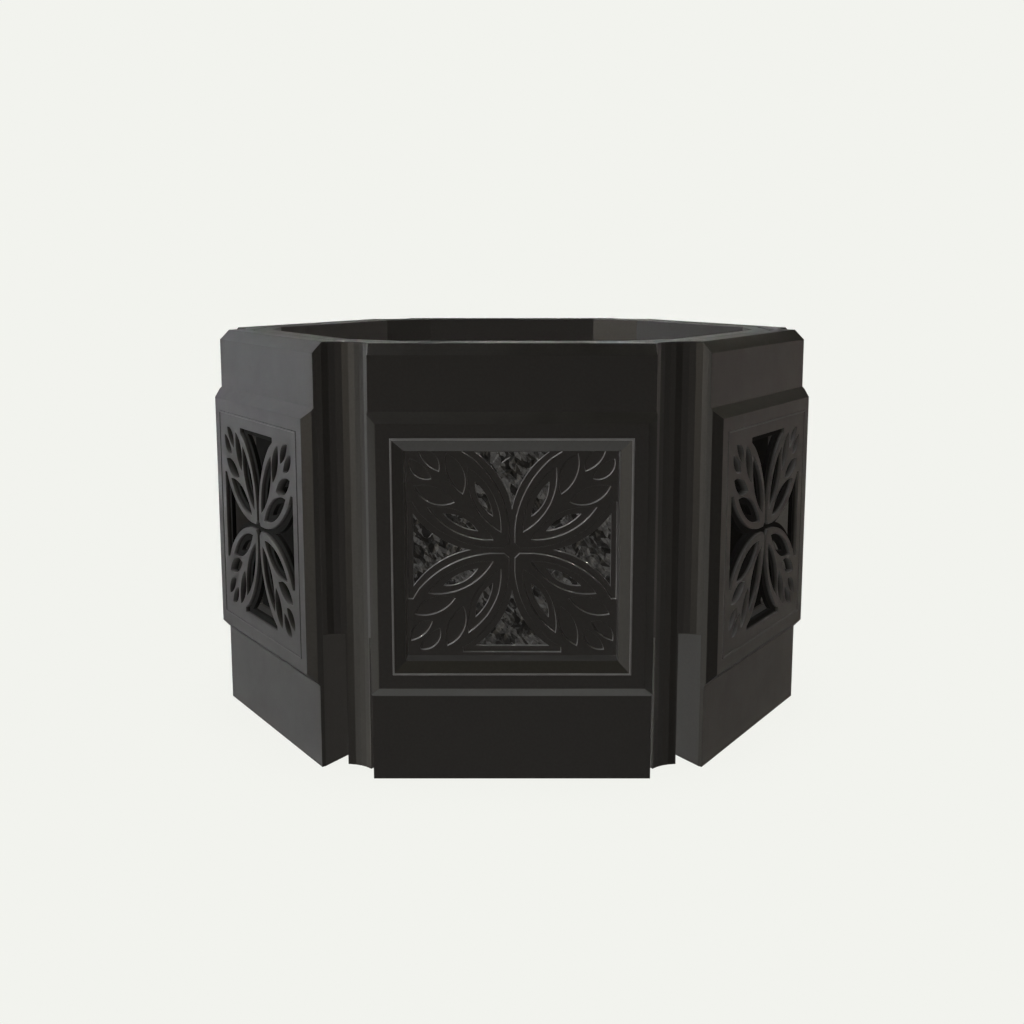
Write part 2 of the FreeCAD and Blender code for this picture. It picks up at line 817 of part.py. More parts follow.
def liner():
    walls = twelve_sided(
        "liner_outside",
        "liner_apothem + liner_sheet",
        "liner_corner + liner_sheet",
        "liner_bottom",
        "rim_ledge",
    )
    flange = twelve_sided(
        "liner_flange",
        "liner_apothem + liner_flange_reach",
        "liner_corner + liner_corner_reach",
        "rim_ledge",
        "overall_height",
    )
    well = twelve_sided(
        "planting_well",
        "liner_apothem",
        "liner_corner",
        "liner_bottom + liner_sheet",
        "overall_height + overrun",
    )
    drains = drain_holes("liner_drain", "drain_diameter", "liner_bottom", "liner_bottom + liner_sheet")
    return cut("liner_solid", fuse("liner_block", walls, flange), well, *drains)


def base_plate():
    plate = twelve_sided(
        "base_outline",
        "liner_apothem + liner_sheet",
        "liner_corner + liner_sheet",
        "shelf_top",
        "liner_bottom",
    )
    tools = drain_holes("base_drain", "base_drain_diameter", "shelf_top", "liner_bottom")
    for number in range(SIDES):
        for side in BOTH:
            tools.append(countersink(f"base_sink_{len(tools)}", number, side))
    return cut("base_solid", plate, *tools)


def countersink(name, number, side):
    """A clearance hole and its cone, turned to one side of the hexagon."""
    hole = cylinder(
        f"{name}_hole",
        "base_screw_diameter + 2 * bolt_clearance",
        "base_thickness + 2 * overrun",
        (f"{side} * base_screw_spacing / 2", "-base_screw_apothem", "shelf_top - overrun"),
        Vector(0, 0, 1),
    )
    cone = doc.addObject("Part::Cone", f"{name}_cone")
    bind(
        cone,
        Radius1="base_screw_diameter / 2",
        Radius2="base_screw_diameter / 2 + base_screw_sink",
        Height="base_screw_sink",
    )
    for axis, formula in zip(
        "xyz",
        (
            f"{side} * base_screw_spacing / 2",
            "-base_screw_apothem",
            "liner_bottom - base_screw_sink",
        ),
    ):
        cone.setExpression(f"Placement.Base.{axis}", linked(formula))
    return turned(name, fuse(f"{name}_tool", hole, cone), number * TURN)


# Fasteners, each drawn with its bearing face at the origin and its head towards +Z


def screw(name, diameter, length, head_share, head_sides=None):
    shank = cylinder(f"{name}_shank", diameter, length, ("0", "0", f"-({length})"), Vector(0, 0, 1))
    head_height = f"({diameter}) * {HEAD_HEIGHT_SHARE}"
    if head_sides:
        head = prism(f"{name}_head", head_sides, f"({diameter}) * {head_share} / 2", "0", head_height)
    else:
        head = cylinder(
            f"{name}_head", f"({diameter}) * {head_share}", head_height, ("0", "0", "0"), Vector(0, 0, 1)
        )
    return fuse(f"{name}_pattern", shank, head)


def ring(name, outside, inside, low, high, sides=None):
    """A washer, spacer or nut on the Z axis."""
    if sides:
        body = prism(f"{name}_body", sides, f"({outside}) / 2", low, high)
    else:
        body = cylinder(f"{name}_body", outside, f"({high}) - ({low})", ("0", "0", low), Vector(0, 0, 1))
    bore = cylinder(
        f"{name}_bore",
        inside,
        f"({high}) - ({low}) + 2 * overrun",
        ("0", "0", f"({low}) - overrun"),
        Vector(0, 0, 1),
    )
    return cut(f"{name}_pattern", body, bore)


def countersunk_screw():
    length = "base_thickness + shelf_thickness + base_nut_height + overrun"
    shank = cylinder("base_shank", "base_screw_diameter", length, ("0", "0", f"-({length})"), Vector(0, 0, 1))
    cone = doc.addObject("Part::Cone", "base_head")
    bind(
        cone,
        Radius1="base_screw_diameter / 2",
        Radius2="base_screw_diameter / 2 + base_screw_sink",
        Height="base_screw_sink",
    )
    cone.setExpression("Placement.Base.z", linked("-base_screw_sink"))
    return fuse("base_screw_pattern", shank, cone)


# Finished nodes

nodes = []


def finish(thing, label):
    thing.Label = label
    nodes.append(thing)
    return thing


def group(label, pattern_places):
    """One node of separate identical solids: pairs of a pattern and the placements of its copies."""
    doc.recompute()
    solids = []
    for pattern, places in pattern_places:
        for place in places:
            solid = pattern.Shape.copy()
            solid.Placement = place.multiply(solid.Placement)
            solids.append(solid)
    feature = doc.addObject("Part::Feature", label)
    feature.Shape = Part.makeCompound(solids)
    return finish(feature, label)


def facing(x, y, z, direction):
    """A placement at a point whose Z axis looks along a direction."""
    return Placement(Vector(x, y, z), Rotation(Vector(0, 0, 1), direction))


def around(angle, place):
    return Placement(Vector(), Rotation(Vector(0, 0, 1), angle)).multiply(place)


def corner_places(distance, inwards=True):
    """Both sides of each post at each level, looking at the post's middle, in the post's frame."""
    places = []
    for number in range(SIDES):
        for side in BOTH:
            for level in range(SCREW_LEVELS):
                height = size(f"corner_screw_height + {level} * corner_screw_pitch")
                local = facing(side * distance, -size("screw_radius"), height, Vector(-side, 0, 0))
                places.append(around(HALF_TURN + number * TURN, local))
    return places


def square_places(spacing, apothem, numbers):
    """The corners of a square in the windows of some sides, looking inwards."""
    half = size(f"{spacing} / 2")
    centre = size("window_centre")
    return [
        around(number * TURN, facing(x * half, -size(apothem), centre + z * half, Vector(0, 1, 0)))
        for number in numbers
        for x in BOTH
        for z in BOTH
    ]


recessed_sides = [number for number, name in enumerate(SIDE_NAMES) if name in RECESSED]
flush_sides = [number for number, name in enumerate(SIDE_NAMES) if name not in RECESSED]

post = corner_post()
panel = side_panel()
frame = window_frame()
grille = leaf_grille()
plate = leaf_plate()
plain_backing = backing_plate("plain_backing", with_boss_holes=False)
bossed_backing = backing_plate("bossed_backing", with_boss_holes=True)

for number, name in enumerate(CORNER_NAMES):
    finish(turned(f"post_{number}", post, HALF_TURN + number * TURN), f"corner_post_{name}")
for number, name in enumerate(SIDE_NAMES):
    angle = number * TURN
    recessed = name in RECESSED
    finish(turned(f"panel_{number}", panel, angle), f"side_panel_{name}")
    finish(turned(f"frame_{number}", frame, angle), f"window_frame_{name}")
    leaf = ("leaf_grille", grille) if recessed else ("leaf_plate", plate)
    finish(turned(f"leaf_{number}", leaf[1], angle), f"{leaf[0]}_{name}")
    backing = plain_backing if recessed else bossed_backing
    finish(turned(f"backing_{number}", backing, angle), f"backing_plate_{name}")
finish(liner(), "planting_liner")
finish(base_plate(), "base_plate")

corner_screw = screw(
    "corner_screw",
    "corner_screw_diameter",
    "washer_thickness + post_wall + end_flange",
    HEX_SHARE,
    str(SIDES),
)
washer = ring(
    "washer",
    f"corner_screw_diameter * {WASHER_SHARE}",
    "corner_screw_diameter + 2 * bolt_clearance",
    "0",
    "washer_thickness",
)
wall_inside = size("post_width / 2 - post_wall")
group("corner_screws", [(corner_screw, corner_places(wall_inside - size("washer_thickness")))])
group("corner_washers", [(washer, corner_places(wall_inside))])

frame_screw = screw(
    "frame_screw",
    "frame_screw_diameter",
    "skin_back - frame_back + frame_screw_thread",
    PAN_SHARE,
)
frame_screw_places = [
    around(
        number * TURN,
        facing(
            column * size("frame_screw_spacing"),
            -size("frame_back"),
            size(f"window_centre + {row} * frame_screw_rise"),
            Vector(0, 1, 0),
        ),
    )
    for number in range(SIDES)
    for row in BOTH
    for column in FRAME_SCREWS
]
group("frame_screws", [(frame_screw, frame_screw_places)])

backing_screw = screw(
    "backing_screw",
    "backing_screw_diameter",
    "frame_back - backing_back + backing_screw_thread",
    PAN_SHARE,
)
group(
    "backing_screws",
    [(backing_screw, square_places("backing_screw_spacing", "backing_back", range(SIDES)))],
)
boss_screw = screw(
    "boss_screw", "backing_screw_diameter", "backing_thickness + boss_screw_thread - overrun", PAN_SHARE
)
group("leaf_plate_screws", [(boss_screw, square_places("boss_spacing", "backing_back", flush_sides))])

spacer_bore = "backing_screw_diameter + 2 * bolt_clearance"
short_spacer = ring("short_spacer", "spacer_diameter", spacer_bore, "0", "backing_gap")
long_spacer = ring("long_spacer", "spacer_diameter", spacer_bore, "0", "frame_back - backing_front")
group(
    "backing_spacers",
    [
        (short_spacer, square_places("backing_screw_spacing", "grille_back", recessed_sides)),
        (long_spacer, square_places("backing_screw_spacing", "frame_back", flush_sides)),
    ],
)

base_places = [
    around(
        number * TURN,
        Placement(
            Vector(side * size("base_screw_spacing / 2"), -size("base_screw_apothem"), size("liner_bottom")),
            Rotation(),
        ),
    )
    for number in range(SIDES)
    for side in BOTH
]
group("base_screws", [(countersunk_screw(), base_places)])
base_nut = ring(
    "base_nut",
    f"base_screw_diameter * {HEX_SHARE}",
    "base_screw_diameter + 2 * thread_clearance",
    "-base_thickness - shelf_thickness - base_nut_height",
    "-base_thickness - shelf_thickness",
    str(SIDES),
)
group("base_nuts", [(base_nut, base_places)])

# Checks and files

doc.recompute()
for thing in doc.Objects:
    if "Invalid" in thing.State or "Error" in thing.State:
        raise RuntimeError(f"{thing.Name} failed: {thing.State}")
for node in nodes:
    if node.Shape.isNull() or not node.Shape.isValid() or not node.Shape.Solids:
        raise RuntimeError(f"{node.Label} has no valid solid")

os.makedirs("parts", exist_ok=True)
for node in nodes:
    node.Shape.exportStep(f"parts/{node.Label}.step")
    print(node.Label, len(node.Shape.Solids), "solids", round(node.Shape.Volume), "mm3")
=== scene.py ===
"""Looks of the hexagonal planter: softened castings, carved leaf windows, flaky window grounds,
coated and zinc finishes, and a plain pale studio. Metres, in the same frame as the CAD model."""
import math

import bmesh
import bpy
from mathutils import Euler, Matrix, Vector
from mathutils.geometry import tessellate_polygon


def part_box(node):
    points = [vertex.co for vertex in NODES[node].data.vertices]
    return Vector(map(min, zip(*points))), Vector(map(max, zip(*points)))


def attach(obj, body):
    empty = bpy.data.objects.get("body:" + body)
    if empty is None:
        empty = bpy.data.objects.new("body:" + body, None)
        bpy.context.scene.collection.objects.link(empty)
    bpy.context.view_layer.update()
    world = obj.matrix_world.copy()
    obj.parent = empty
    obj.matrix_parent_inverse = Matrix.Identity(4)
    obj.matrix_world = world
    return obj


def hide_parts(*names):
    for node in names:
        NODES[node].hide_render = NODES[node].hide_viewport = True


bl_info = {
    "name": "Hexagonal planter looks",
    "version": (1, 0, 0),
    "blender": (4, 5, 0),
    "location": "3D View > Sidebar > Planter",
    "description": "Builds the pieces, finishes and studio of a hexagonal floor planter",
    "category": "Object",
}

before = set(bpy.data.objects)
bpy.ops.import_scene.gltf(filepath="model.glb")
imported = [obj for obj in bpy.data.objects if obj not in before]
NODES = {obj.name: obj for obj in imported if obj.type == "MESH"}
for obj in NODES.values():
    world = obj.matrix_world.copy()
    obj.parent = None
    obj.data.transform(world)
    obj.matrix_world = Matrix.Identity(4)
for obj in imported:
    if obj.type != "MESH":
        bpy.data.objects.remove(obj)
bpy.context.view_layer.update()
MM = 0.001

SIDES = 6
TURN = math.tau / SIDES
SIDE_NAMES = ("front", "front_right", "back_right", "back", "back_left", "front_left")
CORNER_NAMES = ("front_right", "right", "back_right", "back_left", "left", "front_left")
RECESSED = ("front", "back")
FLUSH = tuple(name for name in SIDE_NAMES if name not in RECESSED)

# Sizes read from the CAD nodes

GRILLE_LOW, GRILLE_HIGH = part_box("leaf_grille_front")
BACKING_LOW, BACKING_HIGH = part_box("backing_plate_front")
BLOCK_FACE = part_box("side_panel_front")[0].y
WINDOW_CENTRE = (GRILLE_LOW.z + GRILLE_HIGH.z) / 2
PLATE_THICKNESS = GRILLE_HIGH.y - GRILLE_LOW.y
GRILLE_HALF = GRILLE_HIGH.x

# Sizes of the window pieces that no node's box gives

THROAT_HALF = 96 * MM
MOUTH_HALF = 105.9 * MM
PLATE_CLEARANCE = 0.2 * MM
CHAMFER_DEPTH = 6 * MM
GRILLE_LEAF_RISE = 2 * MM
BACKING_SCREW = 99 * MM
BACKING_HOLE_RADIUS = 2 * MM
BACKING_HOLE_STEPS = 16
BOSS_PLACE = 40 * MM
BOSS_RADIUS = 6 * MM
BOSS_STEPS = 24
WALL_DRAFT_SHARE = 0.05

# The bead of the frames. What stands before the block's face by more than the first length is bead,
# and what stands before it by more than the second gets a painted highlight, a pale line.

BEAD_PROUD = 0.5 * MM
HIGHLIGHT_PROUD = 0.15 * MM
BEAD_RADIUS = 0.45 * MM
BEAD_CREST_ANGLE = 1.0  # radians
JOINT_COVER = 0.25 * MM
SAME_PLACE = 0.05 * MM
REVEAL_DEPTH = 1 * MM

# Painted shade: how dark the ledge under the recessed leaves is painted, which parts of a normal
# tell the ledge, and the depth at which the walls of piercings are painted black

LEDGE_SHADE = 0.65
LEDGE_LEAST_UP = 0.7
LEDGE_LEAST_BACK = -0.3
SHADE_DEPTH = 4.5 * MM

# Cleaning of CAD meshes, and which of their edges are rounded

MERGE_DISTANCE = 0.005 * MM
FLAT_ANGLE = math.radians(0.5)
SHARP_ANGLE = math.radians(28)
PANEL_EDGE_LENGTH = 4 * MM
POST_EDGE_LENGTH = 12 * MM
FRAME_EDGE_LENGTH = 12 * MM
LINER_EDGE_LENGTH = 30 * MM
POST_RADIUS_SHARE = 0.7
FRAME_RADIUS_SHARE = 0.4

# The lit way, to the left and up: carved walls that face it get the strongest painted highlight

LIT_WAY = Vector((-0.55, 0.835))

# Leaf ornament, as shares of half the throat, centre at zero: start, end, bulge away from the
# leaf's diagonal, bulge towards it

SLIT = ((0.182, 0.323), (0.349, 0.656), 0.036, 0.052)
SURROUND = ((0.104, 0.177), (0.417, 0.802), 0.094, 0.109)
MIDDLE_LOBE = ((0.464, 0.542), (0.62, 0.93), 0.09, 0.068)
CORNER_LOBE = ((0.6875, 0.76), (0.88, 0.965), 0.08, 0.04)
GAP_CORNER = (0.354, 0.94)
GAP_APEX = (0, 0.39)
GAP_BULGE = 0.065
BAND_BULGE = 0.076
BAND_PATH = ((0.469, 0.993), (0.469, 0.943), (0.375, 0.885), (0.028, 0.208), (0.028, 0.073))

# Steps down a carved wall: shares of its rounding across and along the wall, and how bright the
# painted edge highlight is there

EDGE_STEPS = ((0.29, 0.29, 0.85), (0, 1, 0.7))
FOOT_STEPS = ((0, 1, 0.15), (0.29, 0.29, 0.05), (1, 0, 0.0))
PIERCED_STEPS = ((0, 0, 0.2),)

# Steps round the outer edge of a flush leaf plate: shares of the edge radius inwards and back

PLATE_EDGE_STEPS = ((1, 0), (0.4, 0.15), (0.35, 0.6))

# Outlines that are moved: how far a sharp tip may run out, and the least cosine that is used there

TIP_LIMIT = 1.4
LEAST_COSINE = 0.3
NO_LENGTH = 1e-6
NO_AREA = 1e-16

# Ground of the recessed windows: its bare margin, how far it reaches before and into the backing
# plate, the drift of its facets as a share of one, and the flake, one unit long

GROUND_MARGIN = 6 * MM
GROUND_REACH = 3.6 * MM
GROUND_ROOT = 1 * MM
FACET_DRIFT = 0.42
LEAST_LIFT = 0.05
LEAST_FLAKE = 0.35
FLAKE_TILT = (0.5, 0.35, 0.9)
FLAKE_CORNERS = ((-0.5, 0, 0.02), (-0.1, -0.16, 0.06), (0.5, 0, 0.16), (0.05, 0.14, 0.1))
FLAKE_THICKNESS = 0.03


def linear_colour(hex_colour, alpha=1.0):
    """An sRGB hex colour as linear red, green, blue and alpha."""
    channels = [int(hex_colour[i : i + 2], 16) / 255 for i in (1, 3, 5)]
    curve = [c / 12.92 if c <= 0.04045 else ((c + 0.055) / 1.055) ** 2.4 for c in channels]
    return (*curve, alpha)


# Settings


def colour_setting(name, description, hex_colour):
    return bpy.props.FloatVectorProperty(
        name=name,
        description=description,
        subtype="COLOR",
        size=4,
        min=0,
        max=1,
        default=linear_colour(hex_colour),
    )


def number_setting(name, description, default, **more):
    return bpy.props.FloatProperty(name=name, description=description, default=default, **more)


def length_setting(name, description, millimetres):
    length = millimetres * MM
    return number_setting(name, description, length, subtype="DISTANCE", unit="LENGTH")


class CastingSettings(bpy.types.PropertyGroup):
    edge_radius: length_setting("Edge radius", "Rounding of the outer edges of the castings", 0.6)
    coat_colour: colour_setting("Coat", "Charcoal of the powder coat", "#302f2e")
    coat_shade: colour_setting("Coat shade", "Darker places of the powder coat", "#2a2928")
    # painted highlight: a pale colour along edges, in place of the light that the edges catch
    highlight_colour: colour_setting("Worn edges", "Coat rubbed thin along edges", "#8b8c90")
    coat_roughness: number_setting(
        "Coat roughness", "Roughness of the satin coat", 0.36, subtype="FACTOR"
    )


class LeafSettings(bpy.types.PropertyGroup):
    hollow_depth: length_setting("Hollow depth", "Depth of the hollows and bands", 4)
    edge_radius: length_setting("Edge radius", "Rounding of the carved edges", 0.4)
    floor_radius: length_setting(
        "Floor radius", "Rounding where a hollow's wall meets its floor", 0.6
    )
    # painted highlights along the edges of the recessed and the flush leaves
    grille_highlight: number_setting("Grille wear", "How far the recessed leaves' edges are rubbed", 1.0)
    plate_highlight: number_setting("Plate wear", "How far the flush leaves' edges are rubbed", 0.15)
    # painted shade inside the flush leaves' piercings
    plate_shade: number_setting(
        "Plate grime", "How dark the flush leaves' piercings are inside", 1.0
    )
    arc_steps: bpy.props.IntProperty(
        name="Arc steps", description="Straight steps in each carved arc", default=12, min=3
    )


class GroundSettings(bpy.types.PropertyGroup):
    facet: length_setting("Facet", "Size of the facets of the ground", 4.5)
    relief: length_setting("Relief", "Height of the facets", 2.6)
    flake_length: length_setting("Flake length", "Length of a flake", 14)
    flake_density: number_setting("Flake density", "Flakes for each square metre", 15000)
    seed: bpy.props.IntProperty(name="Seed", description="Seed of the random ground", default=4)
    dark: colour_setting("Dark flakes", "Colour of the darkest flakes", "#0d0d0d")
    light: colour_setting("Light flakes", "Colour of the lightest flakes", "#75777a")


class StudioSettings(bpy.types.PropertyGroup):
    backdrop: colour_setting("Backdrop", "Background that the camera sees", "#f2f3ee")
    light_level: number_setting("Light level", "Scales all the lamps together", 1.0)
    light_angle: number_setting(
        "Lamp size",
        "How wide each lamp looks from the planter",
        math.radians(40),
        subtype="ANGLE",
        unit="ROTATION",
    )


SETTINGS = {
    "planter_casting": CastingSettings,
    "planter_leaf": LeafSettings,
    "planter_ground": GroundSettings,
    "planter_studio": StudioSettings,
}


# Nodes and objects


def add_node(tree, kind, inputs=None, **settings):
    """Adds a node. An input is given by name or number, and takes a value or a socket to link."""
    node = tree.nodes.new(kind)
    for name, value in settings.items():
        setattr(node, name, value)
    for name, value in (inputs or {}).items():
        if isinstance(name, int):
            socket = node.inputs[name]
        else:
            socket = next(s for s in node.inputs if s.name == name and s.enabled)
        if isinstance(value, bpy.types.NodeSocket):
            tree.links.new(value, socket)
        else:
            socket.default_value = value
    return node


def new_material(name):
    material = bpy.data.materials.new(name)
    material.use_nodes = True
    material.node_tree.nodes.clear()
    return material, material.node_tree


def new_object(name, bm):
    """A mesh object at the origin from a bmesh. Its faces are flat, in place of the CAD node's own
    normals."""
    mesh = bpy.data.meshes.new(name)
    bm.to_mesh(mesh)
    bm.free()
    if "custom_normal" in mesh.attributes:
        mesh.attributes.remove(mesh.attributes["custom_normal"])
    mesh.shade_flat()
    thing = bpy.data.objects.new(name, mesh)
    bpy.context.scene.collection.objects.link(thing)
    return thing


def put_on(thing, material):
    thing.data.materials.clear()
    thing.data.materials.append(material)


def named(stem, places):
    """The names of like nodes at several places."""
    return [f"{stem}_{place}" for place in places]


def declare(piece, material, body, nodes):
    """Finishes a piece: its material, the nodes that it stands for and its body."""
    put_on(piece, material)
    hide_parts(*nodes)
    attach(piece, body)


# Geometry Nodes


def new_tree(name, inputs):
    """A Geometry Nodes tree with its inputs. Returns the tree, its group input's sockets and a
    function that ends it."""
    tree = bpy.data.node_groups.new(name, "GeometryNodeTree")
    tree.interface.new_socket("Geometry", in_out="INPUT", socket_type="NodeSocketGeometry")
    for label, kind in inputs:
        tree.interface.new_socket(label, in_out="INPUT", socket_type=kind)
    tree.interface.new_socket("Material", in_out="INPUT", socket_type="NodeSocketMaterial")
    tree.interface.new_socket("Geometry", in_out="OUTPUT", socket_type="NodeSocketGeometry")
    given = add_node(tree, "NodeGroupInput").outputs

    def end_with(geometry):
        real = add_node(tree, "GeometryNodeRealizeInstances", {"Geometry": geometry})
        painted = add_node(
            tree,
            "GeometryNodeSetMaterial",
            {"Geometry": real.outputs["Geometry"], "Material": given["Material"]},
        )
        add_node(tree, "NodeGroupOutput", {"Geometry": painted.outputs["Geometry"]})

    return tree, given, end_with


def ring_tree():
    """Turned copies of a master about the Z axis. Each copy whose number is a multiple of Skip is
    left out."""
    inputs = (
        ("Count", "NodeSocketInt"),
        ("Step", "NodeSocketFloat"),
        ("First", "NodeSocketFloat"),
        ("Skip", "NodeSocketInt"),
    )
    tree, given, end_with = new_tree("ring of turned copies", inputs)
    points = add_node(tree, "GeometryNodePoints", {"Count": given["Count"]})
    index = add_node(tree, "GeometryNodeInputIndex").outputs["Index"]
    angle = add_node(
        tree,
        "ShaderNodeMath",
        {0: index, 1: given["Step"], 2: given["First"]},
        operation="MULTIPLY_ADD",
    )
    turn = add_node(tree, "ShaderNodeCombineXYZ", {"Z": angle.outputs["Value"]})
    number = add_node(tree, "ShaderNodeMath", {0: index, 1: 1.0}, operation="ADD")
    left = add_node(
        tree, "ShaderNodeMath", {0: number.outputs["Value"], 1: given["Skip"]}, operation="MODULO"
    )
    kept = add_node(
        tree, "ShaderNodeMath", {0: left.outputs["Value"], 1: 0.5}, operation="GREATER_THAN"
    )
    copies = add_node(
        tree,
        "GeometryNodeInstanceOnPoints",
        {
            "Points": points.outputs[0],
            "Selection": kept.outputs["Value"],
            "Instance": given["Geometry"],
            "Rotation": turn.outputs["Vector"],
        },
    )
    end_with(copies.outputs["Instances"])
    return tree


def flake_tree():
    """A crumpled sheet of facets with flakes strewn on it, over the front of the given plate."""
    inputs = (
        ("Size", "NodeSocketFloat"),
        ("Facets", "NodeSocketInt"),
        ("Relief", "NodeSocketFloat"),
        ("Flake Length", "NodeSocketFloat"),
        ("Flake Density", "NodeSocketFloat"),
        ("Seed", "NodeSocketInt"),
    )
    tree, given, end_with = new_tree("flaky window ground", inputs)
    grid = add_node(
        tree,
        "GeometryNodeMeshGrid",
        {
            "Size X": given["Size"],
            "Size Y": given["Size"],
            "Vertices X": given["Facets"],
            "Vertices Y": given["Facets"],
        },
    )
    cell = add_node(
        tree, "ShaderNodeMath", {0: given["Size"], 1: given["Facets"]}, operation="DIVIDE"
    )
    seed = given["Seed"]
    next_seed = add_node(tree, "ShaderNodeMath", {0: seed, 1: 1.0}, operation="ADD")
    drift, lift, turn, spread = (
        add_node(
            tree,
            "FunctionNodeRandomValue",
            {"Min": low, "Max": high, "Seed": own_seed},
            data_type="FLOAT_VECTOR",
        ).outputs["Value"]
        for low, high, own_seed in (
            ((-FACET_DRIFT, -FACET_DRIFT, 0), (FACET_DRIFT, FACET_DRIFT, 0), seed),
            ((0, 0, LEAST_LIFT), (0, 0, 1), next_seed.outputs["Value"]),
            ([-angle for angle in FLAKE_TILT], FLAKE_TILT, seed),
            ((LEAST_FLAKE,) * 3, (1, 1, 1), next_seed.outputs["Value"]),
        )
    )
    across, up, scale = (
        add_node(
            tree, "ShaderNodeVectorMath", {0: vector, "Scale": factor}, operation="SCALE"
        ).outputs["Vector"]
        for vector, factor in (
            (drift, cell.outputs["Value"]),
            (lift, given["Relief"]),
            (spread, given["Flake Length"]),
        )
    )
    offset = add_node(tree, "ShaderNodeVectorMath", {0: across, 1: up})
    crumpled = add_node(
        tree,
        "GeometryNodeSetPosition",
        {"Geometry": grid.outputs["Mesh"], "Offset": offset.outputs["Vector"]},
    ).outputs["Geometry"]
    flat = add_node(
        tree, "GeometryNodeSetShadeSmooth", {"Geometry": crumpled, "Shade Smooth": False}
    )
    points = add_node(
        tree,
        "GeometryNodeDistributePointsOnFaces",
        {"Mesh": crumpled, "Density": given["Flake Density"], "Seed": seed},
    )
    flakes = add_node(
        tree,
        "GeometryNodeInstanceOnPoints",
        {
            "Points": points.outputs["Points"],
            "Instance": given["Geometry"],
            "Rotation": turn,
            "Scale": scale,
        },
    )
    joined = add_node(tree, "GeometryNodeJoinGeometry")
    for geometry in (flat.outputs["Geometry"], flakes.outputs["Instances"]):
        tree.links.new(geometry, joined.inputs["Geometry"])
    end_with(joined.outputs["Geometry"])
    return tree


def grow(name, master, tree, values):
    """Runs a tree on a master, and puts the result in its place as a plain mesh object."""
    modifier = master.modifiers.new(tree.name, "NODES")
    modifier.node_group = tree
    for item in tree.interface.items_tree:
        if item.in_out == "INPUT" and item.name in values:
            modifier[item.identifier] = values[item.name]
    bpy.context.view_layer.update()
    graph = bpy.context.evaluated_depsgraph_get()
    mesh = bpy.data.meshes.new_from_object(master.evaluated_get(graph))
    master.modifiers.remove(modifier)
    bpy.data.objects.remove(master)
    mesh.name = name
    piece = bpy.data.objects.new(name, mesh)
    bpy.context.scene.collection.objects.link(piece)
    return piece


def ring(name, master, material, count=SIDES, step=TURN, first=0.0, skip=SIDES + 1):
    """Turned copies of a master as one piece."""
    values = {"Count": count, "Step": step, "First": first, "Skip": skip, "Material": material}
    return grow(name, master, ring_tree(), values)


# Castings


def merged(node):
    """A merged copy of a CAD node's mesh, with its flat faces whole."""
    bm = bmesh.new()
    bm.from_mesh(NODES[node].data)
    bmesh.ops.remove_doubles(bm, verts=bm.verts, dist=MERGE_DISTANCE)
    bmesh.ops.dissolve_limit(bm, angle_limit=FLAT_ANGLE, verts=bm.verts, edges=bm.edges)
    return bm


def round_edges(bm, edges, radius, segments=3):
    bmesh.ops.bevel(
        bm,
        geom=edges,
        offset=radius,
        offset_type="OFFSET",
        segments=segments,
        profile=0.5,
        affect="EDGES",
        clamp_overlap=True,
    )


def sharp_edges(bm, shortest):
    return [
        edge
        for edge in bm.edges
        if edge.is_manifold
        and edge.calc_length() > shortest
        and edge.calc_face_angle_signed() > SHARP_ANGLE
    ]


def softened(node, radius, shortest):
    """A copy of a CAD node with its longer sharp edges rounded."""
    bm = merged(node)
    round_edges(bm, sharp_edges(bm, shortest), radius)
    return new_object(node, bm)


def beaded_frame(radius, highlight_strength):
    """The front frame with its bead drawn half round over the joint with the panel, a painted
    highlight along the bead, and painted shade on the ledge under the leaves."""
    bm = merged("window_frame_front")
    proud = [vert for vert in bm.verts if vert.co.y < BLOCK_FACE - BEAD_PROUD]
    outer = max(vert.co.x for vert in proud)
    for vert in proud:
        for axis, middle in ((0, 0.0), (2, WINDOW_CENTRE)):
            reach = vert.co[axis] - middle
            if abs(abs(reach) - outer) < SAME_PLACE:
                vert.co[axis] += math.copysign(JOINT_COVER, reach)
    crests = [
        edge
        for edge in bm.edges
        if all(vert in proud for vert in edge.verts)
        and edge.is_manifold
        and edge.calc_face_angle() > BEAD_CREST_ANGLE
    ]
    round_edges(bm, crests, BEAD_RADIUS, segments=4)
    others = [
        edge
        for edge in sharp_edges(bm, FRAME_EDGE_LENGTH)
        if all(vert.co.y > BLOCK_FACE + REVEAL_DEPTH for vert in edge.verts)
    ]
    round_edges(bm, others, radius)
    # painted highlight along the proud bead
    edge_highlight = bm.verts.layers.float.new("edge_highlight")
    for vert in bm.verts:
        vert[edge_highlight] = highlight_strength if vert.co.y < BLOCK_FACE - HIGHLIGHT_PROUD else 0.0
    # painted shade on the ledge under the leaves, in the window's recess
    painted_shade = bm.faces.layers.float.new("painted_shade")
    for face in bm.faces:
        middle = face.calc_center_median()
        upwards = face.normal.z > LEDGE_LEAST_UP and face.normal.y > LEDGE_LEAST_BACK
        face[painted_shade] = LEDGE_SHADE if upwards and BLOCK_FACE < middle.y < GRILLE_LOW.y else 0.0
    return new_object("window_frame", bm)


# Leaf relief, drawn flat in x and z and then set back along y


def rounded_arc(start, end, bulge, steps):
    """Points from start up to but not including end, along an arc bowed to the right by bulge."""
    start, end = Vector(start), Vector(end)
    if not bulge:
        return [start]
    along = end - start
    right = Vector((along.y, -along.x)).normalized()
    radius = (along.length_squared / 4 + bulge * bulge) / (2 * bulge)
    centre = (start + end) / 2 + right * (bulge - radius)
    first = start - centre
    sweep = 2 * math.asin(min(1.0, along.length / (2 * radius)))
    points = []
    for step in range(steps):
        angle = sweep * step / steps
        turned = Vector(
            (
                first.x * math.cos(angle) - first.y * math.sin(angle),
                first.x * math.sin(angle) + first.y * math.cos(angle),
            )
        )
        points.append(centre + turned)
    return points


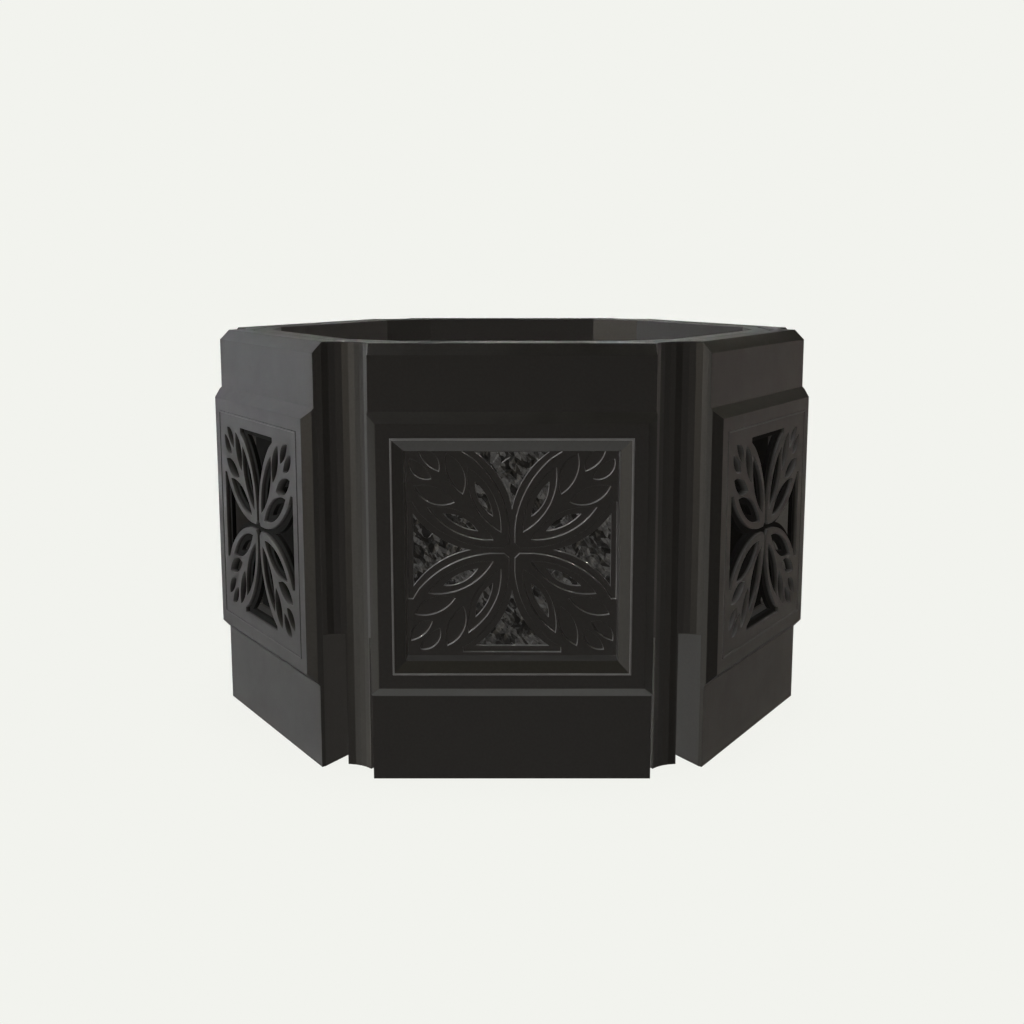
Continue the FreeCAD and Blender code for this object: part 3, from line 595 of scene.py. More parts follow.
def closed(points, bulges, steps):
    """A closed outline through points, anticlockwise, with an arc wherever there is a bulge."""
    path = []
    for start, end, bulge in zip(points, points[1:] + points[:1], bulges):
        path += rounded_arc(start, end, bulge, steps)
    return path


def lens_pair(start, end, away, towards, steps):
    """A pointed lens and its mirror image across the leaf's diagonal."""
    return [
        closed([start, end], [towards, away], steps),
        closed([start[::-1], end[::-1]], [away, towards], steps),
    ]


def four_ways(outlines):
    """Outlines turned to the four leaves."""
    turns = [Matrix.Rotation(quarter * math.pi / 2, 2) for quarter in range(4)]
    return [[turn @ point for point in outline] for turn in turns for outline in outlines]


def band_cross(steps):
    """The sunken bands and channels as one outline round the leaves, anticlockwise."""
    top = [Vector(point) for point in BAND_PATH]
    side = [Vector((point.y, point.x)) for point in top]
    inward_arc = rounded_arc(top[2], top[3], BAND_BULGE, steps) + [top[3], top[4]]
    mirrored_arc = [Vector((point.y, point.x)) for point in inward_arc]
    quarter = [side[0], side[1]] + mirrored_arc + inward_arc[::-1] + [top[1], top[0]]
    return [point for turned in four_ways([quarter]) for point in turned]


def signed_area(outline):
    return sum(a.x * b.y - b.x * a.y for a, b in zip(outline, outline[1:] + outline[:1])) / 2


def offset(outline, distance):
    """The outline moved outwards, with its sharp tips held back."""
    moved = []
    befores, afters = outline[-1:] + outline[:-1], outline[1:] + outline[:1]
    for before, point, after in zip(befores, outline, afters):
        first = (point - before).normalized()
        second = (after - point).normalized()
        normals = [Vector((way.y, -way.x)) for way in (first, second)]
        middle = normals[0] + normals[1]
        if middle.length < NO_LENGTH:
            middle = normals[0]
        middle.normalize()
        stretch = min(TIP_LIMIT, 1 / max(LEAST_COSINE, middle.dot(normals[0])))
        moved.append(point + middle * distance * stretch)
    return moved


class Relief:
    """A plate built of flat regions and the strips between them. Depths run back from its face."""

    def __init__(self, face, centre, edge_highlight, painted_shade):
        self.bm = bmesh.new()
        self.face = face
        self.centre = centre
        self.edge_highlight = edge_highlight
        self.painted_shade = painted_shade
        self.edge_highlight_layer = self.bm.verts.layers.float.new("edge_highlight")
        self.painted_shade_layer = self.bm.verts.layers.float.new("painted_shade")

    def ring(self, outline, depth, edge_highlight=0.0, lit_facing=None):
        """New points along an outline at a depth, with their painted edge highlight and shade. Wear
        is how far the coat is rubbed there.
        """
        points = []
        for number, point in enumerate(outline):
            vert = self.bm.verts.new((point.x, self.face + depth, self.centre + point.y))
            vert[self.edge_highlight_layer] = edge_highlight * self.edge_highlight * (lit_facing[number] if lit_facing else 1.0)
            # painted shade, darker the deeper the point lies
            vert[self.painted_shade_layer] = self.painted_shade * min(1.0, depth / SHADE_DEPTH)
            points.append(vert)
        return points

    def strip(self, upper, lower, inward=True):
        """Quads between two rings, facing into a hole or out of a solid."""
        count = len(upper)
        for i in range(count):
            j = (i + 1) % count
            corners = (upper[i], lower[i], lower[j], upper[j])
            self.bm.faces.new(corners if not inward else corners[::-1])

    def region(self, outer, holes, backwards=False):
        """A flat region between an outer ring and the rings of its holes."""
        rings = [outer] + holes
        verts = [vert for one in rings for vert in one]
        polylines = [[Vector((vert.co.x, vert.co.z, 0)) for vert in one] for one in rings]
        for triangle in tessellate_polygon(polylines):
            corners = [verts[i] for i in triangle]
            a, b, c = (vert.co for vert in corners)
            normal_y = (b - a).cross(c - a).y
            if abs(normal_y) < NO_AREA:
                continue
            if (normal_y > 0) != backwards:
                corners.reverse()
            if self.bm.faces.get(corners) is None:
                self.bm.faces.new(corners)

    def sink(self, outline, top, bottom, edge, fillet):
        """Rounds an edge at depth top and runs a wall down to bottom. Returns the first and the
        last ring."""
        outwards = [moved - point for moved, point in zip(offset(outline, 1.0), outline)]
        # painted highlight: walls that face up and to the left, the lit way, get the most of it
        lit_facing = [max(0.0, -way.normalized().dot(LIT_WAY)) for way in outwards]
        draft = WALL_DRAFT_SHARE * (bottom - top)
        first = upper = self.ring(offset(outline, edge), top)
        for across, down, edge_highlight in EDGE_STEPS:
            lower = self.ring(offset(outline, edge * across), top + edge * down, edge_highlight, lit_facing)
            self.strip(upper, lower)
            upper = lower
        for across, up, edge_highlight in FOOT_STEPS if fillet else PIERCED_STEPS:
            foot = offset(outline, -draft - fillet * across)
            lower = self.ring(foot, bottom - fillet * up, edge_highlight, lit_facing)
            self.strip(upper, lower)
            upper = lower
        return first, upper


def scaled(outlines, size, rise=0.0):
    """Outlines in shares as metres, each anticlockwise."""
    result = []
    for outline in outlines:
        points = [Vector((point.x * size, point.y * size + rise)) for point in outline]
        result.append(points if signed_area(points) > 0 else points[::-1])
    return result


def square(half):
    signs = ((-1, -1), (1, -1), (1, 1), (-1, 1))
    return [Vector((x * half, y * half)) for x, y in signs]


def round_hole(x, y, radius, steps):
    angles = [math.tau * step / steps for step in range(steps)]
    return [
        Vector((x + radius * math.cos(angle), y + radius * math.sin(angle))) for angle in angles
    ]


def four_places(reach):
    return [(x, y) for x in (-reach, reach) for y in (-reach, reach)]


def carve(relief, leaf, rise, pierced_lobes):
    """Cuts the ornament. Returns the rings that the face and the back meet."""
    steps = leaf.arc_steps
    edge, fillet, deep = leaf.edge_radius, leaf.floor_radius, leaf.hollow_depth
    gap_points = [GAP_CORNER, GAP_APEX, (-GAP_CORNER[0], GAP_CORNER[1])]
    gaps = four_ways([closed(gap_points, [GAP_BULGE, GAP_BULGE, 0], steps)])
    slits = four_ways(lens_pair(*SLIT, steps))
    surrounds = four_ways(lens_pair(*SURROUND, steps))
    lobes = four_ways(lens_pair(*MIDDLE_LOBE, steps) + lens_pair(*CORNER_LOBE, steps))
    cross = scaled([band_cross(steps)], THROAT_HALF, rise)[0]
    gaps, slits, surrounds, lobes = (
        scaled(outlines, THROAT_HALF, rise) for outlines in (gaps, slits, surrounds, lobes)
    )
    at_face, at_back = [], []

    def pierce(outline, top):
        first, last = relief.sink(outline, top, PLATE_THICKNESS, edge, 0)
        at_back.append(last)
        return first

    first, last = relief.sink(cross, 0, deep, edge, fillet)
    at_face.append(first)
    relief.region(last, [pierce(outline, deep) for outline in gaps])
    for surround, slit in zip(surrounds, slits):
        first, last = relief.sink(surround, 0, deep, edge, fillet)
        at_face.append(first)
        relief.region(last, [pierce(slit, deep)])
    for lobe in lobes:
        if pierced_lobes:
            at_face.append(pierce(lobe, 0))
        else:
            first, last = relief.sink(lobe, 0, deep, edge, fillet)
            at_face.append(first)
            relief.region(last, [])
    return at_face, at_back


def leaf_grille(leaf):
    """The recessed leaf with its four screw holes, hidden behind the frame."""
    relief = Relief(GRILLE_LOW.y, WINDOW_CENTRE, leaf.grille_highlight, 0.0)
    at_face, at_back = carve(relief, leaf, GRILLE_LEAF_RISE, pierced_lobes=False)
    for x, y in four_places(BACKING_SCREW):
        hole = round_hole(x, y, BACKING_HOLE_RADIUS, BACKING_HOLE_STEPS)
        upper, lower = relief.ring(hole, 0), relief.ring(hole, PLATE_THICKNESS)
        relief.strip(upper, lower)
        at_face.append(upper)
        at_back.append(lower)
    front = relief.ring(square(GRILLE_HALF), 0)
    back = relief.ring(square(GRILLE_HALF), PLATE_THICKNESS)
    relief.region(front, at_face)
    relief.region(back, at_back, backwards=True)
    relief.strip(front, back, inward=False)
    return new_object("leaf_grille", relief.bm)


def leaf_plate(leaf):
    """The flush leaf, bevelled to the mouth of its frame, with four bosses behind it."""
    relief = Relief(BLOCK_FACE, WINDOW_CENTRE, leaf.plate_highlight, leaf.plate_shade)
    at_face, at_back = carve(relief, leaf, 0, pierced_lobes=True)
    edge = leaf.edge_radius
    throat = THROAT_HALF - PLATE_CLEARANCE
    sizes = [(MOUTH_HALF - inwards * edge, back * edge) for inwards, back in PLATE_EDGE_STEPS]
    sizes += [(throat, CHAMFER_DEPTH), (throat, PLATE_THICKNESS)]
    rings = [relief.ring(square(half), depth) for half, depth in sizes]
    relief.region(rings[0], at_face)
    relief.region(rings[-1], at_back, backwards=True)
    for upper, lower in zip(rings, rings[1:]):
        relief.strip(upper, lower, inward=False)
    boss_back = BACKING_LOW.y - BLOCK_FACE
    for x, y in four_places(BOSS_PLACE):
        boss = round_hole(x, y, BOSS_RADIUS, BOSS_STEPS)
        foot = relief.ring(boss, PLATE_THICKNESS - edge)
        end = relief.ring(boss, boss_back)
        relief.bm.faces.new(end)
        relief.bm.faces.new(foot[::-1])
        relief.strip(foot, end, inward=False)
    return new_object("leaf_plate", relief.bm)


def flake():
    """A thin bent flake one unit long, to be strewn over the ground."""
    bm = bmesh.new()
    turn = Euler((0, 0, math.pi / 2)).to_matrix()
    top = [bm.verts.new(turn @ Vector(corner)) for corner in FLAKE_CORNERS]
    bottom = [bm.verts.new(vert.co - Vector((0, 0, FLAKE_THICKNESS))) for vert in top]
    bm.faces.new(top)
    bm.faces.new(bottom[::-1])
    for i in range(4):
        j = (i + 1) % 4
        bm.faces.new((top[i], bottom[i], bottom[j], top[j]))
    return new_object("flake", bm)


def flaky_ground(ground, material):
    """The backing plate with its crumpled, flaky front, drawn for the front window."""
    size = BACKING_HIGH.x - BACKING_LOW.x - GROUND_MARGIN
    values = {
        "Size": size,
        "Facets": round(size / ground.facet),
        "Relief": ground.relief,
        "Flake Length": ground.flake_length,
        "Flake Density": ground.flake_density,
        "Seed": ground.seed,
        "Material": material,
    }
    sheet = grow("ground_sheet", flake(), flake_tree(), values)
    upright = Matrix.Rotation(math.pi / 2, 4, "X")
    sheet.data.transform(Matrix.Translation((0, BACKING_LOW.y, WINDOW_CENTRE)) @ upright)
    first, last = BACKING_LOW.y - GROUND_REACH, BACKING_LOW.y + GROUND_ROOT
    for vert in sheet.data.vertices:
        vert.co.y = max(first, min(last, vert.co.y))
        vert.co.x = max(-GRILLE_HALF, min(GRILLE_HALF, vert.co.x))
        vert.co.z = max(BACKING_LOW.z, min(BACKING_HIGH.z, vert.co.z))
    bm = merged("backing_plate_front")
    bm.from_mesh(sheet.data)
    bpy.data.objects.remove(sheet)
    return new_object("window_ground", bm)


# Materials

# near black used as painted shade, deep in the piercings and on the sheets behind the flush leaves
SHADE_BLACK = "#060606"

# Sizes of the patterns in the finishes, from one patch or grain to the next. Real orange peel is
# about 0.5 mm across, and is drawn coarser so that it shows.

CLOUD_SIZE = 41.7 * MM
SPECKLE_SIZE = 2.38 * MM
PEEL_SIZE = 1.111 * MM
# size of the patches in which the painted edge highlight is brighter or fainter
HIGHLIGHT_PATCH_SIZE = 12.5 * MM
SLATE_PLATE_SIZE = 4 * MM
SLATE_GRAIN_SIZE = 2.38 * MM
PRIMER_BLOOM_SIZE = 9.1 * MM
ZINC_BLOOM_SIZE = 2.63 * MM

# Depths of their relief

PEEL_DEPTH = 0.05 * MM
SLATE_DEPTH = 0.4 * MM
PRIMER_DEPTH = 0.2 * MM
ZINC_DEPTH = 0.1 * MM


def scale_for(size):
    """A texture's scale for a pattern of this size: the whole number of repeats in a metre."""
    return float(round(1 / size))


def powder_coat(casting):
    """Satin polyester powder coat on a sand casting: even charcoal with a fine orange peel, faint
    cloudy differences in shade a few centimetres across, a soft sheen at flat angles, painted
    highlights as thin pale lines along the edges of beads and leaves, brightest on leaf walls that
    face up and to the left, and painted shade as black, dull walls deep in the piercings and a dark
    ledge under the recessed leaves."""
    material, tree = new_material("charcoal_powder_coat")
    place = add_node(tree, "ShaderNodeTexCoord").outputs["Object"]
    clouds, speckle, peel = (
        add_node(
            tree,
            "ShaderNodeTexNoise",
            {"Vector": place, "Scale": scale_for(size), "Detail": detail, "Roughness": rough},
        ).outputs["Fac"]
        for size, detail, rough in (
            (CLOUD_SIZE, 3.0, 0.6), (SPECKLE_SIZE, 2.0, 0.5), (PEEL_SIZE, 1.0, 0.4)
        )
    )
    blend = add_node(
        tree, "ShaderNodeMath", {0: clouds, 1: 0.7, 2: speckle}, operation="MULTIPLY_ADD"
    )
    share = add_node(
        tree,
        "ShaderNodeMapRange",
        {"Value": blend.outputs["Value"], "From Min": 0.6, "From Max": 1.1},
    )
    edge_highlight, painted_shade = (
        add_node(tree, "ShaderNodeAttribute", attribute_name=name).outputs["Fac"]
        for name in ("edge_highlight", "painted_shade")
    )
    # the painted edge highlight is patchy, brighter and fainter along an edge
    patches = add_node(
        tree,
        "ShaderNodeTexNoise",
        {"Vector": place, "Scale": scale_for(HIGHLIGHT_PATCH_SIZE), "Detail": 2.0},
    )
    highlight_strength = add_node(
        tree,
        "ShaderNodeMapRange",
        {"Value": patches.outputs["Fac"], "From Min": 0.35, "From Max": 0.6, "To Min": 0.8},
    )
    highlight_share = add_node(
        tree, "ShaderNodeMath", {0: edge_highlight, 1: highlight_strength.outputs["Result"]}, operation="MULTIPLY"
    )
    colour = casting.coat_shade
    for factor, over in (
        (share.outputs["Result"], casting.coat_colour),
        (highlight_share.outputs["Value"], casting.highlight_colour),
        (painted_shade, linear_colour(SHADE_BLACK)),
    ):
        colour = add_node(
            tree, "ShaderNodeMix", {"Factor": factor, "A": colour, "B": over}, data_type="RGBA"
        ).outputs["Result"]
    # the painted shade also dims the coat's reflections
    shine = add_node(tree, "ShaderNodeMapRange", {"Value": painted_shade, "To Min": 0.5, "To Max": 0.08})
    satin = add_node(
        tree,
        "ShaderNodeMapRange",
        {
            "Value": clouds,
            "From Min": 0.3,
            "From Max": 0.7,
            "To Min": casting.coat_roughness - 0.03,
            "To Max": casting.coat_roughness + 0.04,
        },
    )
    # the painted shade is dull too: rougher, and its shine is lowered above
    roughness = add_node(
        tree,
        "ShaderNodeMath",
        {0: painted_shade, 1: 0.5, 2: satin.outputs["Result"]},
        operation="MULTIPLY_ADD",
    )
    bump = add_node(
        tree, "ShaderNodeBump", {"Height": peel, "Strength": 0.1, "Distance": PEEL_DEPTH}
    )
    shader = add_node(
        tree,
        "ShaderNodeBsdfPrincipled",
        {
            "Base Color": colour,
            "Roughness": roughness.outputs["Value"],
            "IOR": 1.5,
            "Specular IOR Level": shine.outputs["Result"],
            "Normal": bump.outputs["Normal"],
        },
    )
    add_node(tree, "ShaderNodeOutputMaterial", {"Surface": shader.outputs["BSDF"]})
    return material


def flaky_slate(ground):
    """Flaky slate-like ground behind the piercings: dark plates of very different shade, streaked
    aslant, with a low, waxy gloss."""
    material, tree = new_material("flaky_slate_ground")
    place = add_node(tree, "ShaderNodeTexCoord").outputs["Object"]
    turned = add_node(tree, "ShaderNodeMapping", {"Vector": place, "Rotation": (0.0, 0.7, 0.0)})
    aslant = add_node(
        tree, "ShaderNodeMapping", {"Vector": turned.outputs["Vector"], "Scale": (1.0, 1.0, 0.4)}
    )
    # the plates are two and a half times as long as wide
    plates = add_node(
        tree,
        "ShaderNodeTexVoronoi",
        {
            "Vector": aslant.outputs["Vector"],
            "Scale": scale_for(SLATE_PLATE_SIZE),
            "Randomness": 1.0,
        },
    )
    grain = add_node(
        tree,
        "ShaderNodeTexNoise",
        {
            "Vector": aslant.outputs["Vector"],
            "Scale": scale_for(SLATE_GRAIN_SIZE),
            "Detail": 4.0,
            "Roughness": 0.65,
        },
    )
    tone = add_node(tree, "ShaderNodeSeparateColor", {"Color": plates.outputs["Color"]})
    both = add_node(
        tree,
        "ShaderNodeMath",
        {0: tone.outputs["Red"], 1: grain.outputs["Fac"]},
        operation="MULTIPLY",
    )
    share = add_node(
        tree,
        "ShaderNodeMapRange",
        {"Value": both.outputs["Value"], "From Min": 0.16, "From Max": 0.5},
    )
    colour = add_node(
        tree,
        "ShaderNodeMix",
        {"Factor": share.outputs["Result"], "A": ground.dark, "B": ground.light},
        data_type="RGBA",
    )
    bump = add_node(
        tree,
        "ShaderNodeBump",
        {"Height": grain.outputs["Fac"], "Strength": 0.6, "Distance": SLATE_DEPTH},
    )
    shader = add_node(
        tree,
        "ShaderNodeBsdfPrincipled",
        {
            "Base Color": colour.outputs["Result"],
            "Roughness": 0.42,
            "Normal": bump.outputs["Normal"],
        },
    )
    add_node(tree, "ShaderNodeOutputMaterial", {"Surface": shader.outputs["BSDF"]})
    return material


def blotchy(tree, size, detail, dark, light, strength, depth):
    """A blotchy bloom between two colours. Returns the bloom, its colour and its relief."""
    place = add_node(tree, "ShaderNodeTexCoord").outputs["Object"]
    bloom = add_node(
        tree, "ShaderNodeTexNoise", {"Vector": place, "Scale": scale_for(size), "Detail": detail}
    ).outputs["Fac"]
    colour = add_node(
        tree,
        "ShaderNodeMix",
        {"Factor": bloom, "A": linear_colour(dark), "B": linear_colour(light)},
        data_type="RGBA",
    )
    bump = add_node(
        tree, "ShaderNodeBump", {"Height": bloom, "Strength": strength, "Distance": depth}
    )
    return bloom, colour.outputs["Result"], bump.outputs["Normal"]


def shade_black_sheet():
    """Sheet behind the flush leaves: a matt primer with a faint dusty bloom, nearly black as
    painted shade.
    """
    material, tree = new_material("painted_shade_black_sheet")
    _, colour, relief = blotchy(
        tree, PRIMER_BLOOM_SIZE, 4.0, SHADE_BLACK, "#131312", strength=0.2, depth=PRIMER_DEPTH
    )
    shader = add_node(
        tree,
        "ShaderNodeBsdfPrincipled",
        {"Base Color": colour, "Roughness": 0.8, "Specular IOR Level": 0.06, "Normal": relief},
    )
    add_node(tree, "ShaderNodeOutputMaterial", {"Surface": shader.outputs["BSDF"]})
    return material


def zinc_plate(name, hex_bright, hex_dull):
    """Passivated zinc on steel, bright on the screws and tarnished dark on the spacers behind the
    piercings: grey with a faint blotchy bloom and a soft gleam."""
    material, tree = new_material(name)
    bloom, colour, relief = blotchy(
        tree, ZINC_BLOOM_SIZE, 3.0, hex_dull, hex_bright, strength=0.15, depth=ZINC_DEPTH
    )
    roughness = add_node(
        tree, "ShaderNodeMapRange", {"Value": bloom, "To Min": 0.3, "To Max": 0.5}
    )
    shader = add_node(
        tree,
        "ShaderNodeBsdfPrincipled",
        {
            "Base Color": colour,
            "Roughness": roughness.outputs["Result"],
            "Metallic": 1.0,
            "Normal": relief,
        },
    )
    add_node(tree, "ShaderNodeOutputMaterial", {"Surface": shader.outputs["BSDF"]})
    return material


def coat():
    """The charcoal coat, made once and shared by the castings and the liner."""
    made = bpy.data.materials.get("charcoal_powder_coat")
    return made or powder_coat(bpy.context.scene.planter_casting)


# Operators


class PLANTER_OT_panels(bpy.types.Operator):
    """Six cast side panels with rounded edges"""

    bl_idname = "planter.panels"
    bl_label = "Side panels"

    def execute(self, context):
        radius = context.scene.planter_casting.edge_radius
        master = softened("side_panel_front", radius, PANEL_EDGE_LENGTH)
        piece = ring("side_panels", master, coat())
        declare(piece, coat(), "planter", named("side_panel", SIDE_NAMES))
        return {"FINISHED"}


class PLANTER_OT_posts(bpy.types.Operator):
    """Six corner posts with coved fronts and foot notches"""

    bl_idname = "planter.posts"
    bl_label = "Corner posts"

    def execute(self, context):
        radius = context.scene.planter_casting.edge_radius * POST_RADIUS_SHARE
        master = softened("corner_post_right", radius, POST_EDGE_LENGTH)
        piece = ring("corner_posts", master, coat())
        declare(piece, coat(), "planter", named("corner_post", CORNER_NAMES))
        return {"FINISHED"}


class PLANTER_OT_frames(bpy.types.Operator):
    """Six window frames with a thin bead and a chamfered mouth"""

    bl_idname = "planter.frames"
    bl_label = "Window frames"

    def execute(self, context):
        leaf = context.scene.planter_leaf
        radius = context.scene.planter_casting.edge_radius * FRAME_RADIUS_SHARE
        # each set of frames with the strength of its painted bead highlight
        for label, names, highlight_strength in (
            ("recessed_window_frames", RECESSED, leaf.grille_highlight),
            ("flush_window_frames", FLUSH, leaf.plate_highlight),
        ):
            master = beaded_frame(radius, highlight_strength)
            if names == RECESSED:
                piece = ring(label, master, coat(), count=2, step=math.pi)
            else:
                piece = ring(label, master, coat(), first=TURN, skip=SIDES // 2)
            declare(piece, coat(), "planter", named("window_frame", names))
        return {"FINISHED"}


class PLANTER_OT_grilles(bpy.types.Operator):
    """Recessed leaf grilles of the front and back windows"""

    bl_idname = "planter.grilles"
    bl_label = "Leaf grilles"

    def execute(self, context):
        master = leaf_grille(context.scene.planter_leaf)
        piece = ring("leaf_grilles", master, coat(), count=2, step=math.pi)
        declare(piece, coat(), "planter", named("leaf_grille", RECESSED))
        return {"FINISHED"}


class PLANTER_OT_plates(bpy.types.Operator):
    """Flush pierced leaf plates of the four diagonal windows"""

    bl_idname = "planter.plates"
    bl_label = "Leaf plates"

    def execute(self, context):
        master = leaf_plate(context.scene.planter_leaf)
        piece = ring("leaf_plates", master, coat(), first=TURN, skip=SIDES // 2)
        declare(piece, coat(), "planter", named("leaf_plate", FLUSH))
        return {"FINISHED"}


class PLANTER_OT_grounds(bpy.types.Operator):
    """Flaky grounds of the recessed windows, and sheets behind the flush leaves painted black for
    shade
    """

    bl_idname = "planter.grounds"
    bl_label = "Window grounds"

    def execute(self, context):
        ground = context.scene.planter_ground
        material = flaky_slate(ground)
        master = flaky_ground(ground, material)
        piece = ring("window_grounds", master, material, count=2, step=math.pi)
        declare(piece, material, "planter", named("backing_plate", RECESSED))
        # painted shade: near black sheets behind the flush leaves' piercings
        black_sheet = shade_black_sheet()
        for node in named("backing_plate", FLUSH):
            put_on(NODES[node], black_sheet)
        return {"FINISHED"}


class PLANTER_OT_liner(bpy.types.Operator):
    """Lift-out planting liner and the base plate that carries it"""

    bl_idname = "planter.liner"
    bl_label = "Liner and base plate"

    def execute(self, context):
        radius = context.scene.planter_casting.edge_radius
        for node, body in (("planting_liner", "liner"), ("base_plate", "planter")):
            piece = softened(node, radius, LINER_EDGE_LENGTH)
            piece.name = f"{node}_coated"
            declare(piece, coat(), body, [node])
        return {"FINISHED"}


class PLANTER_OT_fasteners(bpy.types.Operator):
    """Zinc finish of the screws, washers, nuts and spacers"""

    bl_idname = "planter.fasteners"
    bl_label = "Fasteners"

    def execute(self, context):
        screws = zinc_plate("bright_zinc_screws", "#9a9a97", "#6e6e6c")
        tubes = zinc_plate("dull_zinc_spacers", "#4c4b4a", "#343433")
        for name, node in NODES.items():
            if name == "backing_spacers":
                put_on(node, tubes)
            elif name.endswith(("_screws", "_washers", "_nuts")):
                put_on(node, screws)
        return {"FINISHED"}


class PLANTER_OT_studio(bpy.types.Operator):
    """Pale floor and backdrop, soft lamps and the camera at the photographed angle"""

    bl_idname = "planter.studio"
    bl_label = "Studio"

    def execute(self, context):
        studio = context.scene.planter_studio
        make_camera()
        make_floor(studio)
        make_backdrop(studio)
        make_lamps(studio)
        return {"FINISHED"}


# Studio

CAMERA_PLACE = (0, -1.5185, 0.4728)
CAMERA_PITCH = math.radians(10.18)
CAMERA_VIEW = math.radians(40)
CAMERA_NEAREST = 10 * MM

# The floor: half its width in metres, how near the planter it shows a faint contact shade and how
# bright that is, and how bright it is in the dark under the planter, which ends between these
# distances from the middle

FLOOR_HALF = 6
CONTACT_REACH = 90 * MM
CONTACT_SHADE = 0.965
COVERED_SHADE = 0.02
COVERED_FLOOR = (250 * MM, 265 * MM)

# Broad lamps that cast no shadows, because the photograph shades every wall by the way it faces
# alone, deep in the windows and the well too. Azimuth from the front by way of the right,
# elevation, linear colour.

LAMPS = (
    (0, -85, (0.496, 0.492, 0.471)),
    (0, -45, (0.111, 0.110, 0.105)),
    (90, -25, (0.036, 0.036, 0.035)),
    (270, -25, (0.180, 0.171, 0.145)),
    (0, -12, (0.112, 0.104, 0.102)),
    (60, -12, (0.122, 0.113, 0.103)),
    (120, -12, (0.110, 0.100, 0.090)),
    (240, -12, (0.202, 0.203, 0.204)),
    (300, -12, (0.297, 0.293, 0.275)),
    (135, 10, (0.032, 0.024, 0.024)),
    (180, 10, (0.173, 0.168, 0.161)),
    (225, 10, (0.148, 0.154, 0.166)),
    (315, 10, (0.453, 0.400, 0.327)),
    (0, 50, (0.116, 0.110, 0.084)),
    (120, 50, (0.350, 0.346, 0.266)),
    (240, 50, (1.633, 1.591, 1.571)),
)


def make_camera():
    data = bpy.data.cameras.new("camera")
    data.angle = CAMERA_VIEW
    data.clip_start = CAMERA_NEAREST
    camera = bpy.data.objects.new("camera", data)
    camera.location = CAMERA_PLACE
    camera.rotation_euler = (math.pi / 2 - CAMERA_PITCH, 0, 0)
    bpy.context.scene.collection.objects.link(camera)
    bpy.context.scene.camera = camera


def camera_only(tree, kind, colour, strength, other):
    """The colour for the camera and for rays through a material, and another shader for all other
    rays."""
    rays = add_node(tree, "ShaderNodeLightPath")
    straight = add_node(
        tree,
        "ShaderNodeMath",
        {0: rays.outputs["Is Camera Ray"], 1: rays.outputs["Is Transmission Ray"]},
        operation="MAXIMUM",
    )
    seen = add_node(tree, kind, {"Color": colour, "Strength": strength})
    mix = add_node(
        tree,
        "ShaderNodeMixShader",
        {0: straight.outputs["Value"], 1: other.outputs[0], 2: seen.outputs[0]},
    )
    return mix.outputs["Shader"]


def make_floor(studio):
    """A pale floor: the camera sees the backdrop's colour with a faint contact shade, and the dark
    under the planter where a drain hole or the lifted liner shows it."""
    bm = bmesh.new()
    bm.faces.new([bm.verts.new((*corner, 0)) for corner in square(FLOOR_HALF)])
    floor = new_object("floor", bm)
    material, tree = new_material("pale_floor")
    near = add_node(
        tree, "ShaderNodeAmbientOcclusion", {"Distance": CONTACT_REACH}, samples=16
    )
    contact = add_node(
        tree, "ShaderNodeMapRange", {"Value": near.outputs["AO"], "To Min": CONTACT_SHADE}
    )
    place = add_node(tree, "ShaderNodeTexCoord").outputs["Object"]
    reach = add_node(tree, "ShaderNodeVectorMath", {0: place}, operation="LENGTH")
    inside, outside = COVERED_FLOOR
    covered = add_node(
        tree,
        "ShaderNodeMapRange",
        {
            "Value": reach.outputs["Value"],
            "From Min": inside,
            "From Max": outside,
            "To Min": COVERED_SHADE,
        },
    )
    shade = add_node(
        tree,
        "ShaderNodeMath",
        {0: contact.outputs["Result"], 1: covered.outputs["Result"]},
        operation="MULTIPLY",
    )
    unlit = add_node(tree, "ShaderNodeEmission", {"Strength": 0.0})
    surface = camera_only(
        tree, "ShaderNodeEmission", studio.backdrop, shade.outputs["Value"], unlit
    )
    add_node(tree, "ShaderNodeOutputMaterial", {"Surface": surface})
    put_on(floor, material)


def make_backdrop(studio):
    """The plain backdrop for the camera. It throws no light, and the coat's soft reflections don't
    show it, because the photograph's grazing faces stay far darker than the backdrop."""
    world = bpy.data.worlds.new("studio_backdrop")
    bpy.context.scene.world = world
    world.use_nodes = True
    tree = world.node_tree
    tree.nodes.clear()
    unlit = add_node(tree, "ShaderNodeBackground", {"Strength": 0.0})
    surface = camera_only(tree, "ShaderNodeBackground", studio.backdrop, 1.0, unlit)
    add_node(tree, "ShaderNodeOutputWorld", {"Surface": surface})
    bpy.context.scene.view_settings.view_transform = "Standard"


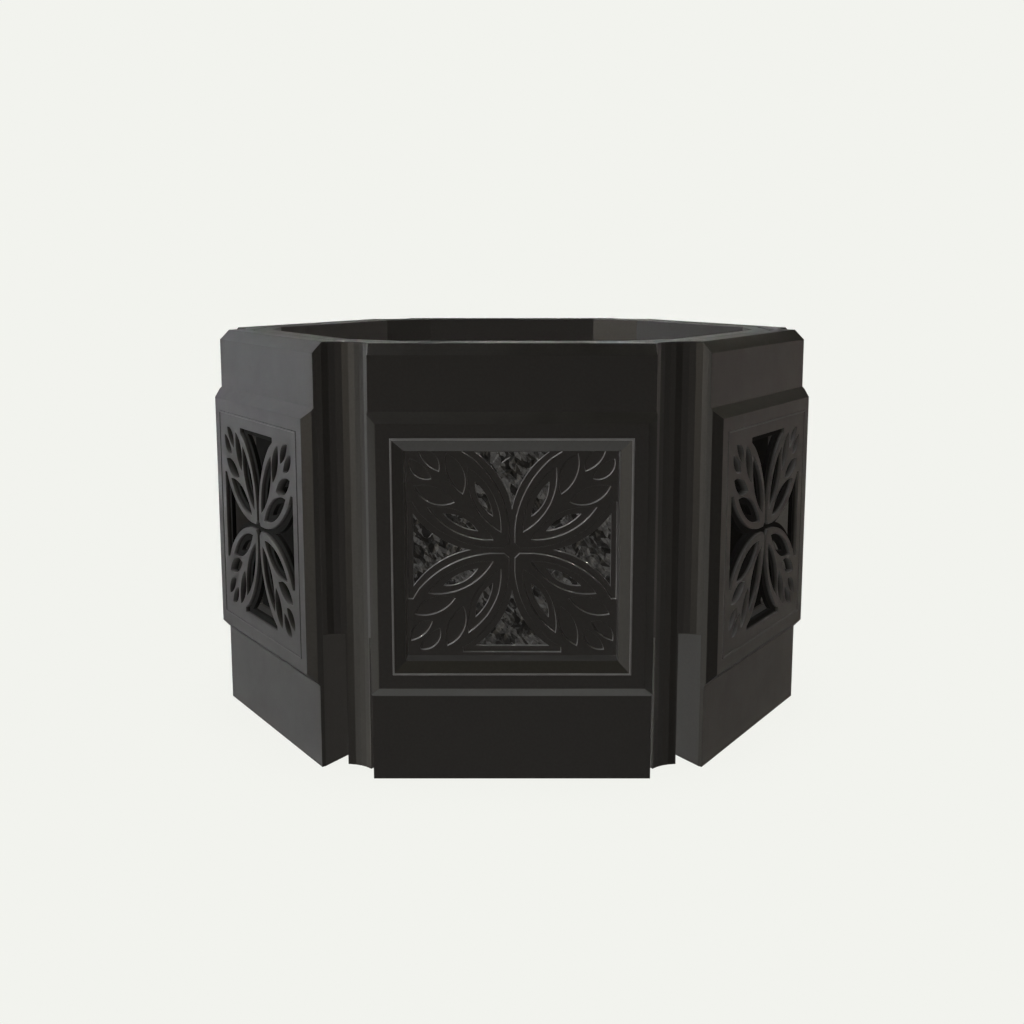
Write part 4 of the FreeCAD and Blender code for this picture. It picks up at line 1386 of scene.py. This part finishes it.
def make_lamps(studio):
    for azimuth, elevation, colour in LAMPS:
        lamp = bpy.data.lights.new(f"lamp_{azimuth}_{elevation}", "SUN")
        brightest = max(colour)
        lamp.energy = brightest * studio.light_level
        lamp.color = [channel / brightest for channel in colour]
        lamp.angle = studio.light_angle
        lamp.use_shadow = False
        lamp.cycles.use_multiple_importance_sampling = False
        thing = bpy.data.objects.new(lamp.name, lamp)
        turn, rise = math.radians(azimuth), math.radians(elevation)
        towards = Vector(
            (math.sin(turn) * math.cos(rise), -math.cos(turn) * math.cos(rise), math.sin(rise))
        )
        thing.rotation_euler = towards.to_track_quat("Z", "Y").to_euler()
        bpy.context.scene.collection.objects.link(thing)


OPERATORS = (
    PLANTER_OT_panels,
    PLANTER_OT_posts,
    PLANTER_OT_frames,
    PLANTER_OT_grilles,
    PLANTER_OT_plates,
    PLANTER_OT_grounds,
    PLANTER_OT_liner,
    PLANTER_OT_fasteners,
    PLANTER_OT_studio,
)


class PLANTER_PT_pieces(bpy.types.Panel):
    """Lists the planter's settings and pieces"""

    bl_label = "Planter"
    bl_idname = "PLANTER_PT_pieces"
    bl_space_type = "VIEW_3D"
    bl_region_type = "UI"
    bl_category = "Planter"

    def draw(self, context):
        for name, group in SETTINGS.items():
            box = self.layout.box()
            for setting in group.__annotations__:
                box.prop(getattr(context.scene, name), setting)
        for operator in OPERATORS:
            self.layout.operator(operator.bl_idname)


def register():
    for name, group in SETTINGS.items():
        bpy.utils.register_class(group)
        setattr(bpy.types.Scene, name, bpy.props.PointerProperty(type=group))
    for item in (*OPERATORS, PLANTER_PT_pieces):
        bpy.utils.register_class(item)


def unregister():
    for item in (PLANTER_PT_pieces, *reversed(OPERATORS)):
        bpy.utils.unregister_class(item)
    for name, group in SETTINGS.items():
        delattr(bpy.types.Scene, name)
        bpy.utils.unregister_class(group)


def main():
    register()
    bpy.ops.planter.panels()
    bpy.ops.planter.posts()
    bpy.ops.planter.frames()
    bpy.ops.planter.grilles()
    bpy.ops.planter.plates()
    bpy.ops.planter.grounds()
    bpy.ops.planter.liner()
    bpy.ops.planter.fasteners()
    bpy.ops.planter.studio()


if __name__ == "__main__":
    main()
